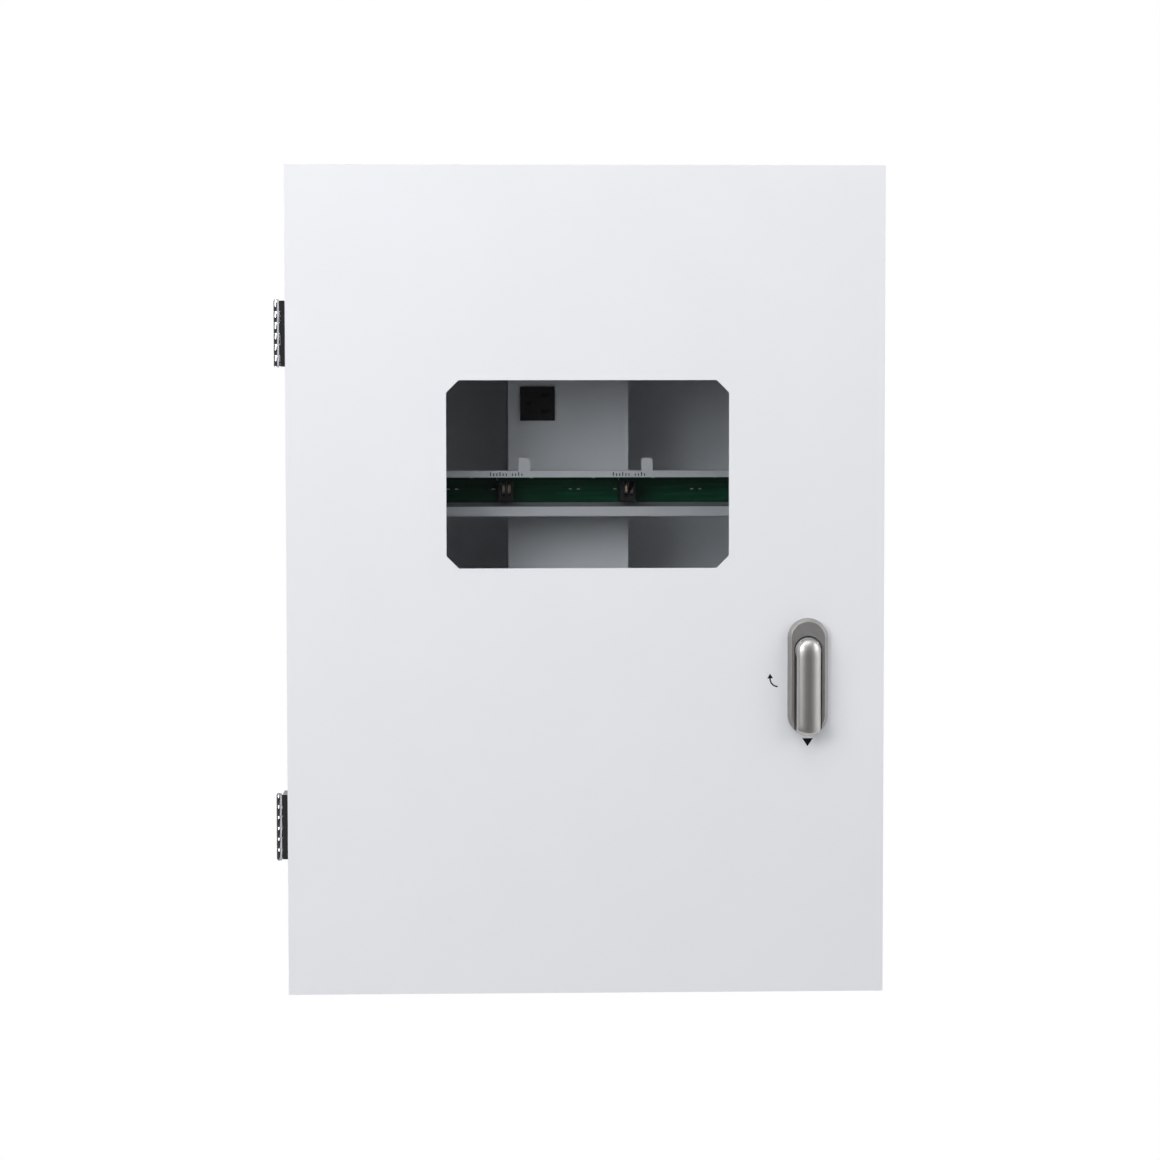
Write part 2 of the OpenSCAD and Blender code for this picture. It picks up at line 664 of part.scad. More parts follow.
module hinge_door_leaves() color("silver") for (h = [-hinge_z, hinge_z]) {
    block([axis_x + barrel_r + 0.3, -door_w / 2 + return_w - 0.5],
        at(axis_y, [-door_gap / 2, -door_gap / 2 + leaf_t]),
        at(h, [-hinge_l / 2, hinge_l / 2]));
    for (i = [1:2:knuckles - 1])
        knuckle(knuckle_z(h, i), at(axis_y, [-door_gap / 2, -door_gap / 2 + leaf_t]));
}

module hinge_pins() color("silver") for (h = [-hinge_z, hinge_z]) {
    bar_z(axis_x, axis_y, at(h, [-hinge_l / 2 - 0.2, hinge_l / 2 + 0.2]), pin_r);
    for (s = [-1, 1]) bar_z(axis_x, axis_y, at(h + s * (hinge_l / 2 + 0.45), [-0.4, 0.4]), 1.9);
}

// ---- Screws ----

module pan_screws_m4() color(ZINC) {
    gland_screws() screw_z(0, 0, cab_h / 2 + sheet + lay, 2, 8, -1);
    for (z = foot_z, s = [0, 1]) screw_y(foot_x(s), front_y - rail_t - lay, z, 2, 1.2);
    for (x = [rail_x[0] + 9, rail_x[1] - 9]) {
        screw_z(x, -rack_y + 14, upper_lip[1] + lay, 2, 6, -1);
        screw_z(x, -rack_y + 14, lower_lip[0] - lay, 2, 6, 1);
        screw_y(x, front_y - rail_t - 2 * lay, 73, 2, 1.2);
    }
    for (s = [-1, 1]) screw_y(s * 167, front_y - 1.4 - lay, -256, 2, 1.3);
}

module pan_screws_m3() color(ZINC) {
    board_corners() screw_y(0, board_y - card_t - lay, 0, 1.5, 8);
    card_screws() screw_y(0, card_y - lay, 0, 1.48, 4);
}

// ---- Door ----

module door_panel() color(POWDER) {
    difference() {
        block([-door_w / 2, door_w / 2], [face_y, rear_y], [-door_h / 2, door_h / 2]);
        block([-door_w / 2 + sheet, door_w / 2 - sheet], [skin_y, rear_y - sheet],
            [-door_h / 2 + sheet, door_h / 2 - sheet]);
        block([-door_w / 2 + return_w, door_w / 2 - return_w], [skin_y, rear_y + 1],
            [-door_h / 2 + return_w, door_h / 2 - return_w]);
        plate_y([face_y - 1, skin_y + 1]) window_outline(0, win_cut);
        bar_y(handle_x, [face_y - 1, skin_y + 1], hub_z, boss_r + 0.3);
    }
    // Window studs with their shoulders
    retainer_studs() {
        bar_y(0, [skin_y - 0.5, skin_y + seal_t + pane_t], 0, 3.5);
        bar_y(0, [skin_y - 0.5, skin_y + 10], 0, 2);
    }
    // Two welded stiffening channels
    for (s = [-1, 1]) difference() {
        block(at(s * stiff_x, [-8, 8]), [skin_y - 0.5, skin_y + 12], [-310, 310]);
        block(at(s * stiff_x, [-6.5, 6.5]), [skin_y, skin_y + 10.5], [-311, 311]);
    }
    bar_y(door_stud[0], [skin_y - 0.5, skin_y + 15], door_stud[1], 3);
}

module retainer_studs() {
    for (x = retainer_x, z = [-retainer_z, retainer_z]) translate([win_x + x, 0, win_z + z]) children();
    for (x = [-139, 139]) translate([win_x + x, 0, win_z]) children();
}

module door_gasket() color(BLACK) {
    x = lip_x - sheet / 2;
    z = lip_z - sheet / 2;
    difference() {
        block([-x - gasket_w / 2, x + gasket_w / 2], [skin_y, -cab_d - lip_h - 0.3],
            [-z - gasket_w / 2, z + gasket_w / 2]);
        block([-x + gasket_w / 2, x - gasket_w / 2], [skin_y - 1, -cab_d - lip_h + 1],
            [-z + gasket_w / 2, z - gasket_w / 2]);
    }
}

module window_seal() color(BLACK) plate_y([skin_y, skin_y + seal_t]) difference() {
    window_outline(24, 6);
    window_outline(1, win_cut);
}

module window_pane() color([0.8, 0.9, 0.95, 0.3])
    plate_y(at(skin_y + seal_t, [lay, pane_t - lay])) window_outline(28, 4);

module window_retainer() color(ZINC) difference() {
    plate_y(at(skin_y + seal_t + pane_t, [0, 1.2])) difference() {
        window_outline(54, 6);
        window_outline(5, win_cut);
    }
    retainer_studs() bar_y(0, [skin_y, skin_y + 12], 0, 2 + 0.15);
}

module retainer_nuts() color(ZINC) retainer_studs()
    nut_y(0, at(skin_y + seal_t + pane_t + 1.2, [lay, 3.2]), 0, 7, 2 + run);

// ---- Handle ----

// Heights out from the door's face, as a range of y
function out(a, b) = [face_y - b, face_y - a];

// An upright bar with round ends whose side leans from radius r1 to r2 between two heights
module oval(r1, r2, a, b) {
    for (z = [base_low, base_top]) translate([handle_x, face_y - a, z]) rotate([90, 0, 0])
        cylinder(h = b - a, r1 = r1, r2 = r2);
    translate([0, 0, base_low]) linear_extrude(base_top - base_low) polygon([for (p = [[-r1, a], [r1, a],
        [r2, b], [-r2, b]]) [handle_x + p[0], face_y - p[1]]]);
}

module handle_base() color(NICKEL) difference() {
    union() {
        oval(base_w / 2, base_w / 2, 0, 4);
        oval(base_w / 2, base_w / 2 - 2.8, 4, base_h);
        bar_y(handle_x, [face_y - 1, skin_y + 12], hub_z, boss_r);
    }
    plate_y(out(pocket_h, base_h + 1)) translate([handle_x, 0])
        polygon(slot_points(pocket_r, base_low - 30, hub_z + 0.9));
    bar_y(handle_x, [face_y - 10, skin_y + 13], hub_z, shaft_r + run);
}

module handle_nut() color(ZINC) nut_y(handle_x, at(skin_y, [lay, 6]), hub_z, 30, boss_r + run);

module handle_spindle() color(ZINC) difference() {
    union() {
        bar_y(handle_x, out(pocket_h + 0.2, base_h), hub_z, 11);
        bar_y(handle_x, [face_y - 4, tongue_y - 0.4], hub_z, shaft_r);
        block(at(handle_x, [-4, 4]), at(tongue_y, [-1, tongue_t - screw_sink - 0.05]), at(hub_z, [-4, 4]));
        block(at(handle_x, [-lug_w / 2, lug_w / 2]), out(base_h - 1, pivot_h), at(pivot_z, [-3.4, 3.4]));
        bar_x(at(handle_x, [-lug_w / 2, lug_w / 2]), face_y - pivot_h, pivot_z, 3.4);
    }
    bar_x(at(handle_x, [-5, 5]), face_y - pivot_h, pivot_z, 1.5 + run);
    bar_y(handle_x, [tongue_y - 12, tongue_y + 5], hub_z, 2.5 + run);
}

module tongue() color(ZINC) difference() {
    plate_y([tongue_y, tongue_y + tongue_t]) translate([handle_x, hub_z]) polygon(concat(
        [for (a = [90:10:270]) 10 * [cos(a), sin(a)]],
        [[tongue_l - 4, -9], [tongue_l, -5], [tongue_l, 5], [tongue_l - 4, 9]]));
    square = [-4 - run, 4 + run];
    block(at(handle_x, square), at(tongue_y, [-1, tongue_t + 1]), at(hub_z, square));
    bar_y(handle_x, at(tongue_y + tongue_t, [-screw_sink, 1]), hub_z, 6.6);
}

// The tongue's screw, whose flat head lies flush in the tongue
module tongue_screw() color(ZINC) {
    y = tongue_y + tongue_t;
    bar_y(handle_x, [y - 12, y - 0.7], hub_z, 2.5);
    bar_y(handle_x, at(y, [-screw_sink + lay, -0.1]), hub_z, 6.4);
}

// The lever's side outline: height out from the door along its length
lever_end = base_low - base_w / 2 + 0.4;
function lever_side() = concat(
    [[-face_y + lever_low, lever_end]],
    [for (a = [-90:15:0]) [-face_y + pivot_h + 4 * sin(a), pivot_z + 4 * cos(a)]],
    [for (a = [0:15:90]) [-face_y + pivot_h + (lever_h - pivot_h) * sin(a), pivot_z - 4 + 8 * cos(a)]],
    [for (a = [90:-15:0]) [-face_y + lever_h - 4 + 4 * sin(a), lever_end + 3 - 3 * cos(a)]]);

module lever() color(NICKEL) difference() {
    intersection() {
        plate_x(at(handle_x, [-lever_w / 2, lever_w / 2]))
            polygon([for (p = lever_side()) [-p[0], p[1]]]);
        // Crown across the lever
        bar_z(handle_x, face_y - lever_h + 16.3, [lever_end - 5, pivot_z + 10], 16.3);
        plate_y(out(0, 30)) intersection() {
            translate([handle_x, 0]) polygon(slot_points(lever_w / 2, base_low - 30, hub_z));
            translate([handle_x, 0]) polygon(slot_points(base_w / 2 - 0.4, base_low, base_top + 30));
        }
    }
    block(at(handle_x, [-4.25, 4.25]), out(5, pivot_h + 3.6), at(pivot_z, [-7.5, 6]));
    bar_x(at(handle_x, [-12, 12]), face_y - pivot_h, pivot_z, 1.5 + 0.02);
}

module lever_pin() color(ZINC) bar_x(at(handle_x, [-8, 8]), face_y - pivot_h, pivot_z, 1.5);

cabinet_back();
cabinet_sides();
cabinet_ends();
gland_plate();
cable_grommets();
blanking_plugs();
mounting_plate();
plate_nuts();
column_cover();
service_socket();
psu_case();
psu_board();
rack_brackets();
card_rail_upper();
card_rail_lower();
loop_card(0);  // loop_card_1
loop_card(1);  // loop_card_2
loop_card(2);  // loop_card_3
line_jacks();
jack_contacts();
main_board();
board_standoffs();
board_chips();
board_relays();
board_terminals();
buzzer();
button_switches();
din_rails();
breaker_body();
field_terminals();
earth_bar();
battery_tray();
battery_1();
battery_2();
battery_strap();
wiring_duct();
duct_cover();
internal_leads();
earth_lead();
hinge_body_leaves();
hinge_pins();
pan_screws_m4();
pan_screws_m3();
door_panel();
door_gasket();
window_seal();
window_pane();
window_retainer();
retainer_nuts();
hinge_door_leaves();
handle_base();
handle_nut();
handle_spindle();
tongue();
tongue_screw();
lever();
lever_pin();
breaker_toggle();
button_reset();
button_silence();
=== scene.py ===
"""Fire alarm control panel: studio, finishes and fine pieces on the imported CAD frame.

The wall is the plane y = 0, the door faces -Y and +Z is up. Shapes are given in millimetres, at the
CAD's own places, and become metres when a piece is made.
"""

import json
import math

import bmesh
import bpy
from mathutils import Matrix, Vector


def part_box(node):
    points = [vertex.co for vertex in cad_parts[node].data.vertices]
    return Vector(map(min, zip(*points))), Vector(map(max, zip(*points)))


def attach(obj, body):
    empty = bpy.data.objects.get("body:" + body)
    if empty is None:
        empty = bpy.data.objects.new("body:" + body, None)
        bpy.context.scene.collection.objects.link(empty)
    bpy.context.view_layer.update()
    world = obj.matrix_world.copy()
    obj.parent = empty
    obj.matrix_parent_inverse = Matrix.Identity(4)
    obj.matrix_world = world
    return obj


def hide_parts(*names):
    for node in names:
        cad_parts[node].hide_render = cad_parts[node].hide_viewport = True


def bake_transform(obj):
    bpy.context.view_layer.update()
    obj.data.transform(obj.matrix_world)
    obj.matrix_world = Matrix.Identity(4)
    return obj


MM = 0.001
# Edges that turn more than this many degrees are rounded
SHARP_ANGLE = 30


# ---- Studio ----


def make_camera():
    """A viewpoint level with the window, a little left of the middle, looking slightly down."""
    focal_length, sensor_width = 96.71, 36.0
    place = (-0.094, -2.828, 0.141)
    turn, pitch, roll = -0.0338, -0.0531, 0.0011
    lens = bpy.data.cameras.new("studio_camera")
    lens.lens, lens.sensor_width = focal_length, sensor_width
    camera = bpy.data.objects.new("studio_camera", lens)
    aim = (
        Matrix.Rotation(turn, 4, "Z")
        @ Matrix.Rotation(pitch, 4, "X")
        @ Matrix.Rotation(roll, 4, "Y")
        @ Matrix.Rotation(math.pi / 2, 4, "X")
    )
    camera.matrix_world = Matrix.Translation(place) @ aim
    bpy.context.scene.collection.objects.link(camera)
    bpy.context.scene.camera = camera


def add_softbox(name, place, target, size, power, tint=(1.0, 1.0, 1.0)):
    """A large square lamp at place, turned to face target."""
    lamp = bpy.data.lights.new(name, "AREA")
    lamp.shape, lamp.size, lamp.energy, lamp.color = "SQUARE", size, power, tint
    holder = bpy.data.objects.new(name, lamp)
    aim = (Vector(target) - Vector(place)).to_track_quat("-Z", "Y")
    holder.matrix_world = Matrix.Translation(place) @ aim.to_matrix().to_4x4()
    bpy.context.scene.collection.objects.link(holder)


def make_world():
    """White behind the object; for light and reflections, a bright right, a dim left and a dim front."""
    world = bpy.data.worlds.new("studio_world")
    bpy.context.scene.world = world
    world.use_nodes = True
    nodes, links = world.node_tree.nodes, world.node_tree.links
    nodes.clear()
    place = nodes.new("ShaderNodeTexCoord")
    split = nodes.new("ShaderNodeSeparateXYZ")
    links.new(place.outputs["Generated"], split.inputs[0])

    def ramp(axis, low, high, dim, bright):
        """Strength going smoothly from dim to bright as a direction's part along axis grows."""
        made = nodes.new("ShaderNodeMapRange")
        made.interpolation_type = "SMOOTHSTEP"
        made.inputs["From Min"].default_value = low
        made.inputs["From Max"].default_value = high
        made.inputs["To Min"].default_value = dim
        made.inputs["To Max"].default_value = bright
        links.new(split.outputs[axis], made.inputs["Value"])
        return made.outputs[0]

    def product(one, other):
        """Two strengths multiplied."""
        made = nodes.new("ShaderNodeMath")
        made.operation = "MULTIPLY"
        links.new(one, made.inputs[0])
        links.new(other, made.inputs[1])
        return made.outputs[0]

    sides = product(ramp("X", -0.75, -0.30, 0.22, 1.0), ramp("X", 0.30, 0.75, 1.0, 2.6))
    room = nodes.new("ShaderNodeBackground")
    room.inputs["Color"].default_value = (0.97, 0.975, 1.0, 1.0)
    links.new(product(ramp("Y", -0.97, -0.40, 0.035, 0.34), sides), room.inputs["Strength"])
    white = nodes.new("ShaderNodeBackground")
    white.inputs["Color"].default_value = (1.0, 1.0, 1.0, 1.0)
    ray = nodes.new("ShaderNodeLightPath")
    choose = nodes.new("ShaderNodeMixShader")
    links.new(ray.outputs["Is Camera Ray"], choose.inputs[0])
    links.new(room.outputs[0], choose.inputs[1])
    links.new(white.outputs[0], choose.inputs[2])
    out = nodes.new("ShaderNodeOutputWorld")
    links.new(choose.outputs[0], out.inputs["Surface"])


def make_studio():
    """The world, three lamps from the front and a pale round floor well below the object."""
    bpy.context.scene.view_settings.view_transform = "Standard"
    make_world()
    cool = (0.985, 0.985, 1.0)
    add_softbox("key_left", (-2.1, -2.15, 1.1), (0, -0.1, 0.1), 1.9, 52.5, cool)
    add_softbox("fill_right", (2.55, -1.85, 1.05), (0, -0.1, 0), 1.7, 22.5, cool)
    add_softbox("top", (-0.3, -1.5, 1.9), (0, -0.1, 0.2), 2.2, 28.5, cool)
    floor = Piece()
    floor_top, floor_thickness, floor_radius = -1200, 6, 1500
    floor.prism(circle_points(0, 0, floor_radius, 96), (floor_top - floor_thickness, floor_top), "z")
    floor.build("studio_floor", None, [plain_floor()])


# ---- Finishes ----


def scaled(colour, factor):
    """A colour made lighter or darker, with its alpha."""
    return tuple(min(1.0, c * factor) for c in colour[:3]) + (1.0,)


def surface(
    name,
    colour,
    roughness,
    metallic=0.0,
    shade=0.05,
    patch=30.0,
    gloss_change=0.06,
    grain=900.0,
    bump=0.2,
    depth=0.06,
    stretch=(1.0, 1.0, 1.0),
    **sockets,
):
    """A finish whose colour, gloss and height vary by noise.

    patch and grain are noise scales per metre, depth is the grain's height in millimetres, and
    stretch draws the grain out along an axis. sockets are uniform values on the shader itself.
    """
    made = bpy.data.materials.new(name)
    made.use_nodes = True
    nodes, links = made.node_tree.nodes, made.node_tree.links
    shader = nodes["Principled BSDF"]
    shader.inputs["Metallic"].default_value = metallic
    for socket, value in sockets.items():
        shader.inputs[socket.replace("_", " ")].default_value = value
    place = nodes.new("ShaderNodeTexCoord")
    stretched = nodes.new("ShaderNodeMapping")
    stretched.inputs["Scale"].default_value = stretch
    links.new(place.outputs["Object"], stretched.inputs["Vector"])

    def noise(scale, detail, vector):
        """A noise value from about 0.3 to 0.7 at each place."""
        texture = nodes.new("ShaderNodeTexNoise")
        texture.inputs["Scale"].default_value = scale
        texture.inputs["Detail"].default_value = detail
        links.new(vector, texture.inputs["Vector"])
        return texture.outputs["Fac"]

    tone = nodes.new("ShaderNodeMix")
    tone.name = "tone"
    tone.data_type = "RGBA"
    tone.inputs["A"].default_value = scaled(colour, 1 - shade)
    tone.inputs["B"].default_value = scaled(colour, 1 + shade)
    links.new(noise(patch, 3, place.outputs["Object"]), tone.inputs["Factor"])
    links.new(tone.outputs["Result"], shader.inputs["Base Color"])
    noise_low, noise_high, gloss_patch = 0.3, 0.7, patch * 2.7
    gloss = nodes.new("ShaderNodeMapRange")
    gloss.inputs["From Min"].default_value = noise_low
    gloss.inputs["From Max"].default_value = noise_high
    gloss.inputs["To Min"].default_value = max(0.0, roughness - gloss_change)
    gloss.inputs["To Max"].default_value = min(1.0, roughness + gloss_change)
    links.new(noise(gloss_patch, 2, stretched.outputs[0]), gloss.inputs["Value"])
    links.new(gloss.outputs[0], shader.inputs["Roughness"])
    height = nodes.new("ShaderNodeBump")
    height.inputs["Strength"].default_value = bump
    height.inputs["Distance"].default_value = depth * MM
    links.new(noise(grain, 4, stretched.outputs[0]), height.inputs["Height"])
    links.new(height.outputs[0], shader.inputs["Normal"])
    return made


def plain_floor():
    """A pale matt floor, almost even."""
    return surface("floor_pale", (0.90, 0.905, 0.91), 0.7, shade=0.01, patch=3, grain=60, bump=0.05)


def circuit_board(name):
    """Green solder mask over copper: faint lighter streaks along X, partly tracks and partly painted
    reflection streaks.
    """
    mask, copper_and_sheen_colour = (0.002, 0.042, 0.019), (0.004, 0.056, 0.026, 1.0)
    made = surface(name, mask, 0.32, shade=0.12, patch=60, grain=500, bump=0.1, depth=0.03,
                   Specular_IOR_Level=0.12)
    nodes, links = made.node_tree.nodes, made.node_tree.links
    # Partly painted reflection: the lighter streaks along X stand for copper tracks and also for the
    # board's reflection streaks
    runs = nodes.new("ShaderNodeMapping")
    runs.inputs["Scale"].default_value = (18.0, 120.0, 420.0)
    links.new(nodes["Texture Coordinate"].outputs["Object"], runs.inputs["Vector"])
    track_and_sheen_noise = nodes.new("ShaderNodeTexNoise")
    track_and_sheen_noise.inputs["Scale"].default_value = 1.0
    track_and_sheen_noise.inputs["Detail"].default_value = 1.0
    links.new(runs.outputs[0], track_and_sheen_noise.inputs["Vector"])
    edge = nodes.new("ShaderNodeMapRange")
    edge.inputs["From Min"].default_value = 0.52
    edge.inputs["From Max"].default_value = 0.57
    links.new(track_and_sheen_noise.outputs["Fac"], edge.inputs["Value"])
    copper_and_sheen_mix = nodes.new("ShaderNodeMix")
    copper_and_sheen_mix.data_type = "RGBA"
    copper_and_sheen_mix.inputs["B"].default_value = copper_and_sheen_colour
    links.new(edge.outputs[0], copper_and_sheen_mix.inputs["Factor"])
    links.new(nodes["tone"].outputs["Result"], copper_and_sheen_mix.inputs["A"])
    links.new(copper_and_sheen_mix.outputs["Result"], nodes["Principled BSDF"].inputs["Base Color"])
    return made


def rail_zinc_painted_shade(brushed):
    """Zinc on the rails' front faces, with the shadow inside the folds painted in dark grey."""
    bright_zinc, fold_shade_colour = (0.80, 0.81, 0.83), (0.24, 0.245, 0.255, 1.0)
    made = surface("rail_zinc_painted_shade", bright_zinc, 0.34, 0.78, shade=0.05, patch=25, **brushed)
    nodes, links = made.node_tree.nodes, made.node_tree.links
    split = nodes.new("ShaderNodeSeparateXYZ")
    links.new(nodes["Texture Coordinate"].outputs["Object"], split.inputs[0])
    # Painted shade: faces behind the rails' front fade to dark grey, standing for the shadow inside the
    # folds
    fold_shade_mask = nodes.new("ShaderNodeMapRange")
    fold_shade_mask.inputs["From Min"].default_value = (RACK_Y + 0.2) * MM
    fold_shade_mask.inputs["From Max"].default_value = (RACK_Y + 1.2) * MM
    links.new(split.outputs["Y"], fold_shade_mask.inputs["Value"])
    fold_shade_mix = nodes.new("ShaderNodeMix")
    fold_shade_mix.data_type = "RGBA"
    fold_shade_mix.inputs["B"].default_value = fold_shade_colour
    links.new(fold_shade_mask.outputs[0], fold_shade_mix.inputs["Factor"])
    links.new(nodes["tone"].outputs["Result"], fold_shade_mix.inputs["A"])
    links.new(fold_shade_mix.outputs["Result"], nodes["Principled BSDF"].inputs["Base Color"])
    return made


def clear_sheet(name):
    """Clear acrylic that refracts what the eye sees and lets lamps through to what is behind it."""
    made = surface(name, (0.925, 0.94, 0.95), 0.02, shade=0.01, patch=8, gloss_change=0.015, grain=40,
                   bump=0.02, depth=0.05, Transmission_Weight=1.0, IOR=1.49)
    nodes, links = made.node_tree.nodes, made.node_tree.links
    ray = nodes.new("ShaderNodeLightPath")
    clear = nodes.new("ShaderNodeBsdfTransparent")
    clear.inputs["Color"].default_value = (0.91, 0.925, 0.935, 1.0)
    choose = nodes.new("ShaderNodeMixShader")
    links.new(ray.outputs["Is Shadow Ray"], choose.inputs[0])
    links.new(nodes["Principled BSDF"].outputs[0], choose.inputs[1])
    links.new(clear.outputs[0], choose.inputs[2])
    links.new(choose.outputs[0], nodes["Material Output"].inputs["Surface"])
    return made


def make_finishes():
    """Every finish by its slot name, and a few more for the fine pieces."""
    fine_coat = dict(shade=0.012, patch=9, gloss_change=0.05, grain=750, bump=0.16, depth=0.07)
    plastic = dict(shade=0.06, patch=90, gloss_change=0.05, grain=1400, bump=0.12, depth=0.03)
    rubber = dict(shade=0.25, patch=140, grain=2200, bump=0.4, depth=0.08)
    polished = dict(shade=0.02, patch=70, gloss_change=0.03, grain=400, bump=0.03, depth=0.02)
    cast = dict(shade=0.05, patch=160, gloss_change=0.06, grain=1500, bump=0.3, depth=0.05)
    plated = dict(shade=0.07, patch=150, grain=1200, bump=0.1, depth=0.02)
    tinned = dict(shade=0.08, patch=300, grain=900, bump=0.15, depth=0.03)
    brushed_up = dict(grain=1.0, bump=0.22, depth=0.02, stretch=(2600.0, 2600.0, 45.0))
    brushed_across = dict(grain=1.0, bump=0.18, depth=0.02, stretch=(40.0, 900.0, 1500.0))
    satin = dict(shade=0.05, patch=120, gloss_change=0.05, **brushed_up)
    galvanised = dict(shade=0.09, patch=55, **brushed_across)
    # name: colour, roughness, metallic and the rest of the finish
    recipes = {
        "white_powder": ((0.84, 0.85, 0.87), 0.46, 0.0, fine_coat),
        # Painted shade: inner_powder is a darker copy of white_powder for the dim inside; the real coat
        # is the same white
        "inner_powder": ((0.735, 0.745, 0.76), 0.5, 0.0, fine_coat),
        "zinc": ((0.60, 0.61, 0.63), 0.42, 0.7, galvanised),
        "chrome": ((0.82, 0.83, 0.84), 0.07, 1.0, polished),
        "satin_nickel": ((0.59, 0.57, 0.545), 0.36, 0.9, satin),
        "cast_nickel": ((0.385, 0.375, 0.365), 0.5, 0.8, cast),
        "black_rubber": ((0.022, 0.022, 0.024), 0.75, 0.0, rubber),
        "black_plastic": ((0.007, 0.007, 0.008), 0.45, 0.0, dict(Specular_IOR_Level=0.25, **plastic)),
        "gold_contact": ((0.66, 0.53, 0.36), 0.34, 0.85, plated),
        "relay_blue": ((0.02, 0.10, 0.38), 0.3, 0.0, plastic),
        "terminal_green": ((0.03, 0.30, 0.12), 0.4, 0.0, plastic),
        "terminal_grey": ((0.40, 0.41, 0.41), 0.45, 0.0, plastic),
        "breaker_white": ((0.72, 0.72, 0.70), 0.4, 0.0, plastic),
        "duct_grey": ((0.34, 0.35, 0.36), 0.5, 0.0, plastic),
        "battery_case": ((0.035, 0.037, 0.043), 0.4, 0.0, plastic),
        "lead_sleeve": ((0.42, 0.018, 0.012), 0.38, 0.0, plastic),
        "earth_sleeve": ((0.02, 0.26, 0.05), 0.38, 0.0, plastic),
        "button_red": ((0.50, 0.018, 0.012), 0.28, 0.0, plastic),
        "button_yellow": ((0.72, 0.42, 0.02), 0.28, 0.0, plastic),
        "earth_stripe": ((0.75, 0.58, 0.02), 0.38, 0.0, plastic),
        "sleeve_black": ((0.02, 0.02, 0.022), 0.4, 0.0, plastic),
        "sleeve_brown": ((0.13, 0.045, 0.018), 0.4, 0.0, plastic),
        "sleeve_blue": ((0.02, 0.10, 0.42), 0.4, 0.0, plastic),
        "ink": ((0.005, 0.005, 0.006), 0.55, 0.0, dict(Specular_IOR_Level=0.15, **plastic)),
        "component_tan": ((0.42, 0.30, 0.17), 0.45, 0.0, plastic),
        "solder": ((0.66, 0.67, 0.68), 0.28, 1.0, tinned),
        "lamp_lens": ((0.80, 0.80, 0.72), 0.2, 0.0, plastic),
        "label_stock": ((0.78, 0.79, 0.78), 0.55, 0.0, plastic),
    }
    made = {
        name: surface(name, colour, roughness, metallic, **grain)
        for name, (colour, roughness, metallic, grain) in recipes.items()
    }
    made["rail_zinc_painted_shade"] = rail_zinc_painted_shade(brushed_across)
    made["clear_pane"] = clear_sheet("clear_pane")
    made["green_board"] = circuit_board("green_board")
    return made


# ---- Shapes, in millimetres ----


def about(middle, half):
    """The two values a half width either side of a middle."""
    return middle - half, middle + half


def circle_points(x, y, radius, steps=32, start=0.0, stop=360.0):
    """Points round an arc; a whole circle leaves its last point out."""
    whole = abs(stop - start) >= 360
    count = steps if whole else steps + 1
    return [
        (x + radius * math.cos(math.radians(start + (stop - start) * i / steps)),
         y + radius * math.sin(math.radians(start + (stop - start) * i / steps)))
        for i in range(count)
    ]


def lift(point, height, axis):
    """A point of an outline put at a height along its axis: (x, z) for y, (y, z) for x, (x, y) for z."""
    u, v = point
    return Vector({"x": (height, u, v), "y": (u, height, v), "z": (u, v, height)}[axis])


def smooth_path(points, steps):
    """A Catmull-Rom curve through points."""
    points = [Vector(p) for p in points]
    path = []
    for i in range(len(points) - 1):
        a, b, c, d = (points[max(0, min(len(points) - 1, i + k))] for k in (-1, 0, 1, 2))
        for k in range(steps):
            t = k / steps
            path.append(0.5 * (2 * b + (c - a) * t + (2 * a - 5 * b + 4 * c - d) * t**2
                               + (3 * b - a - 3 * c + d) * t**3))
    return path + [points[-1]]


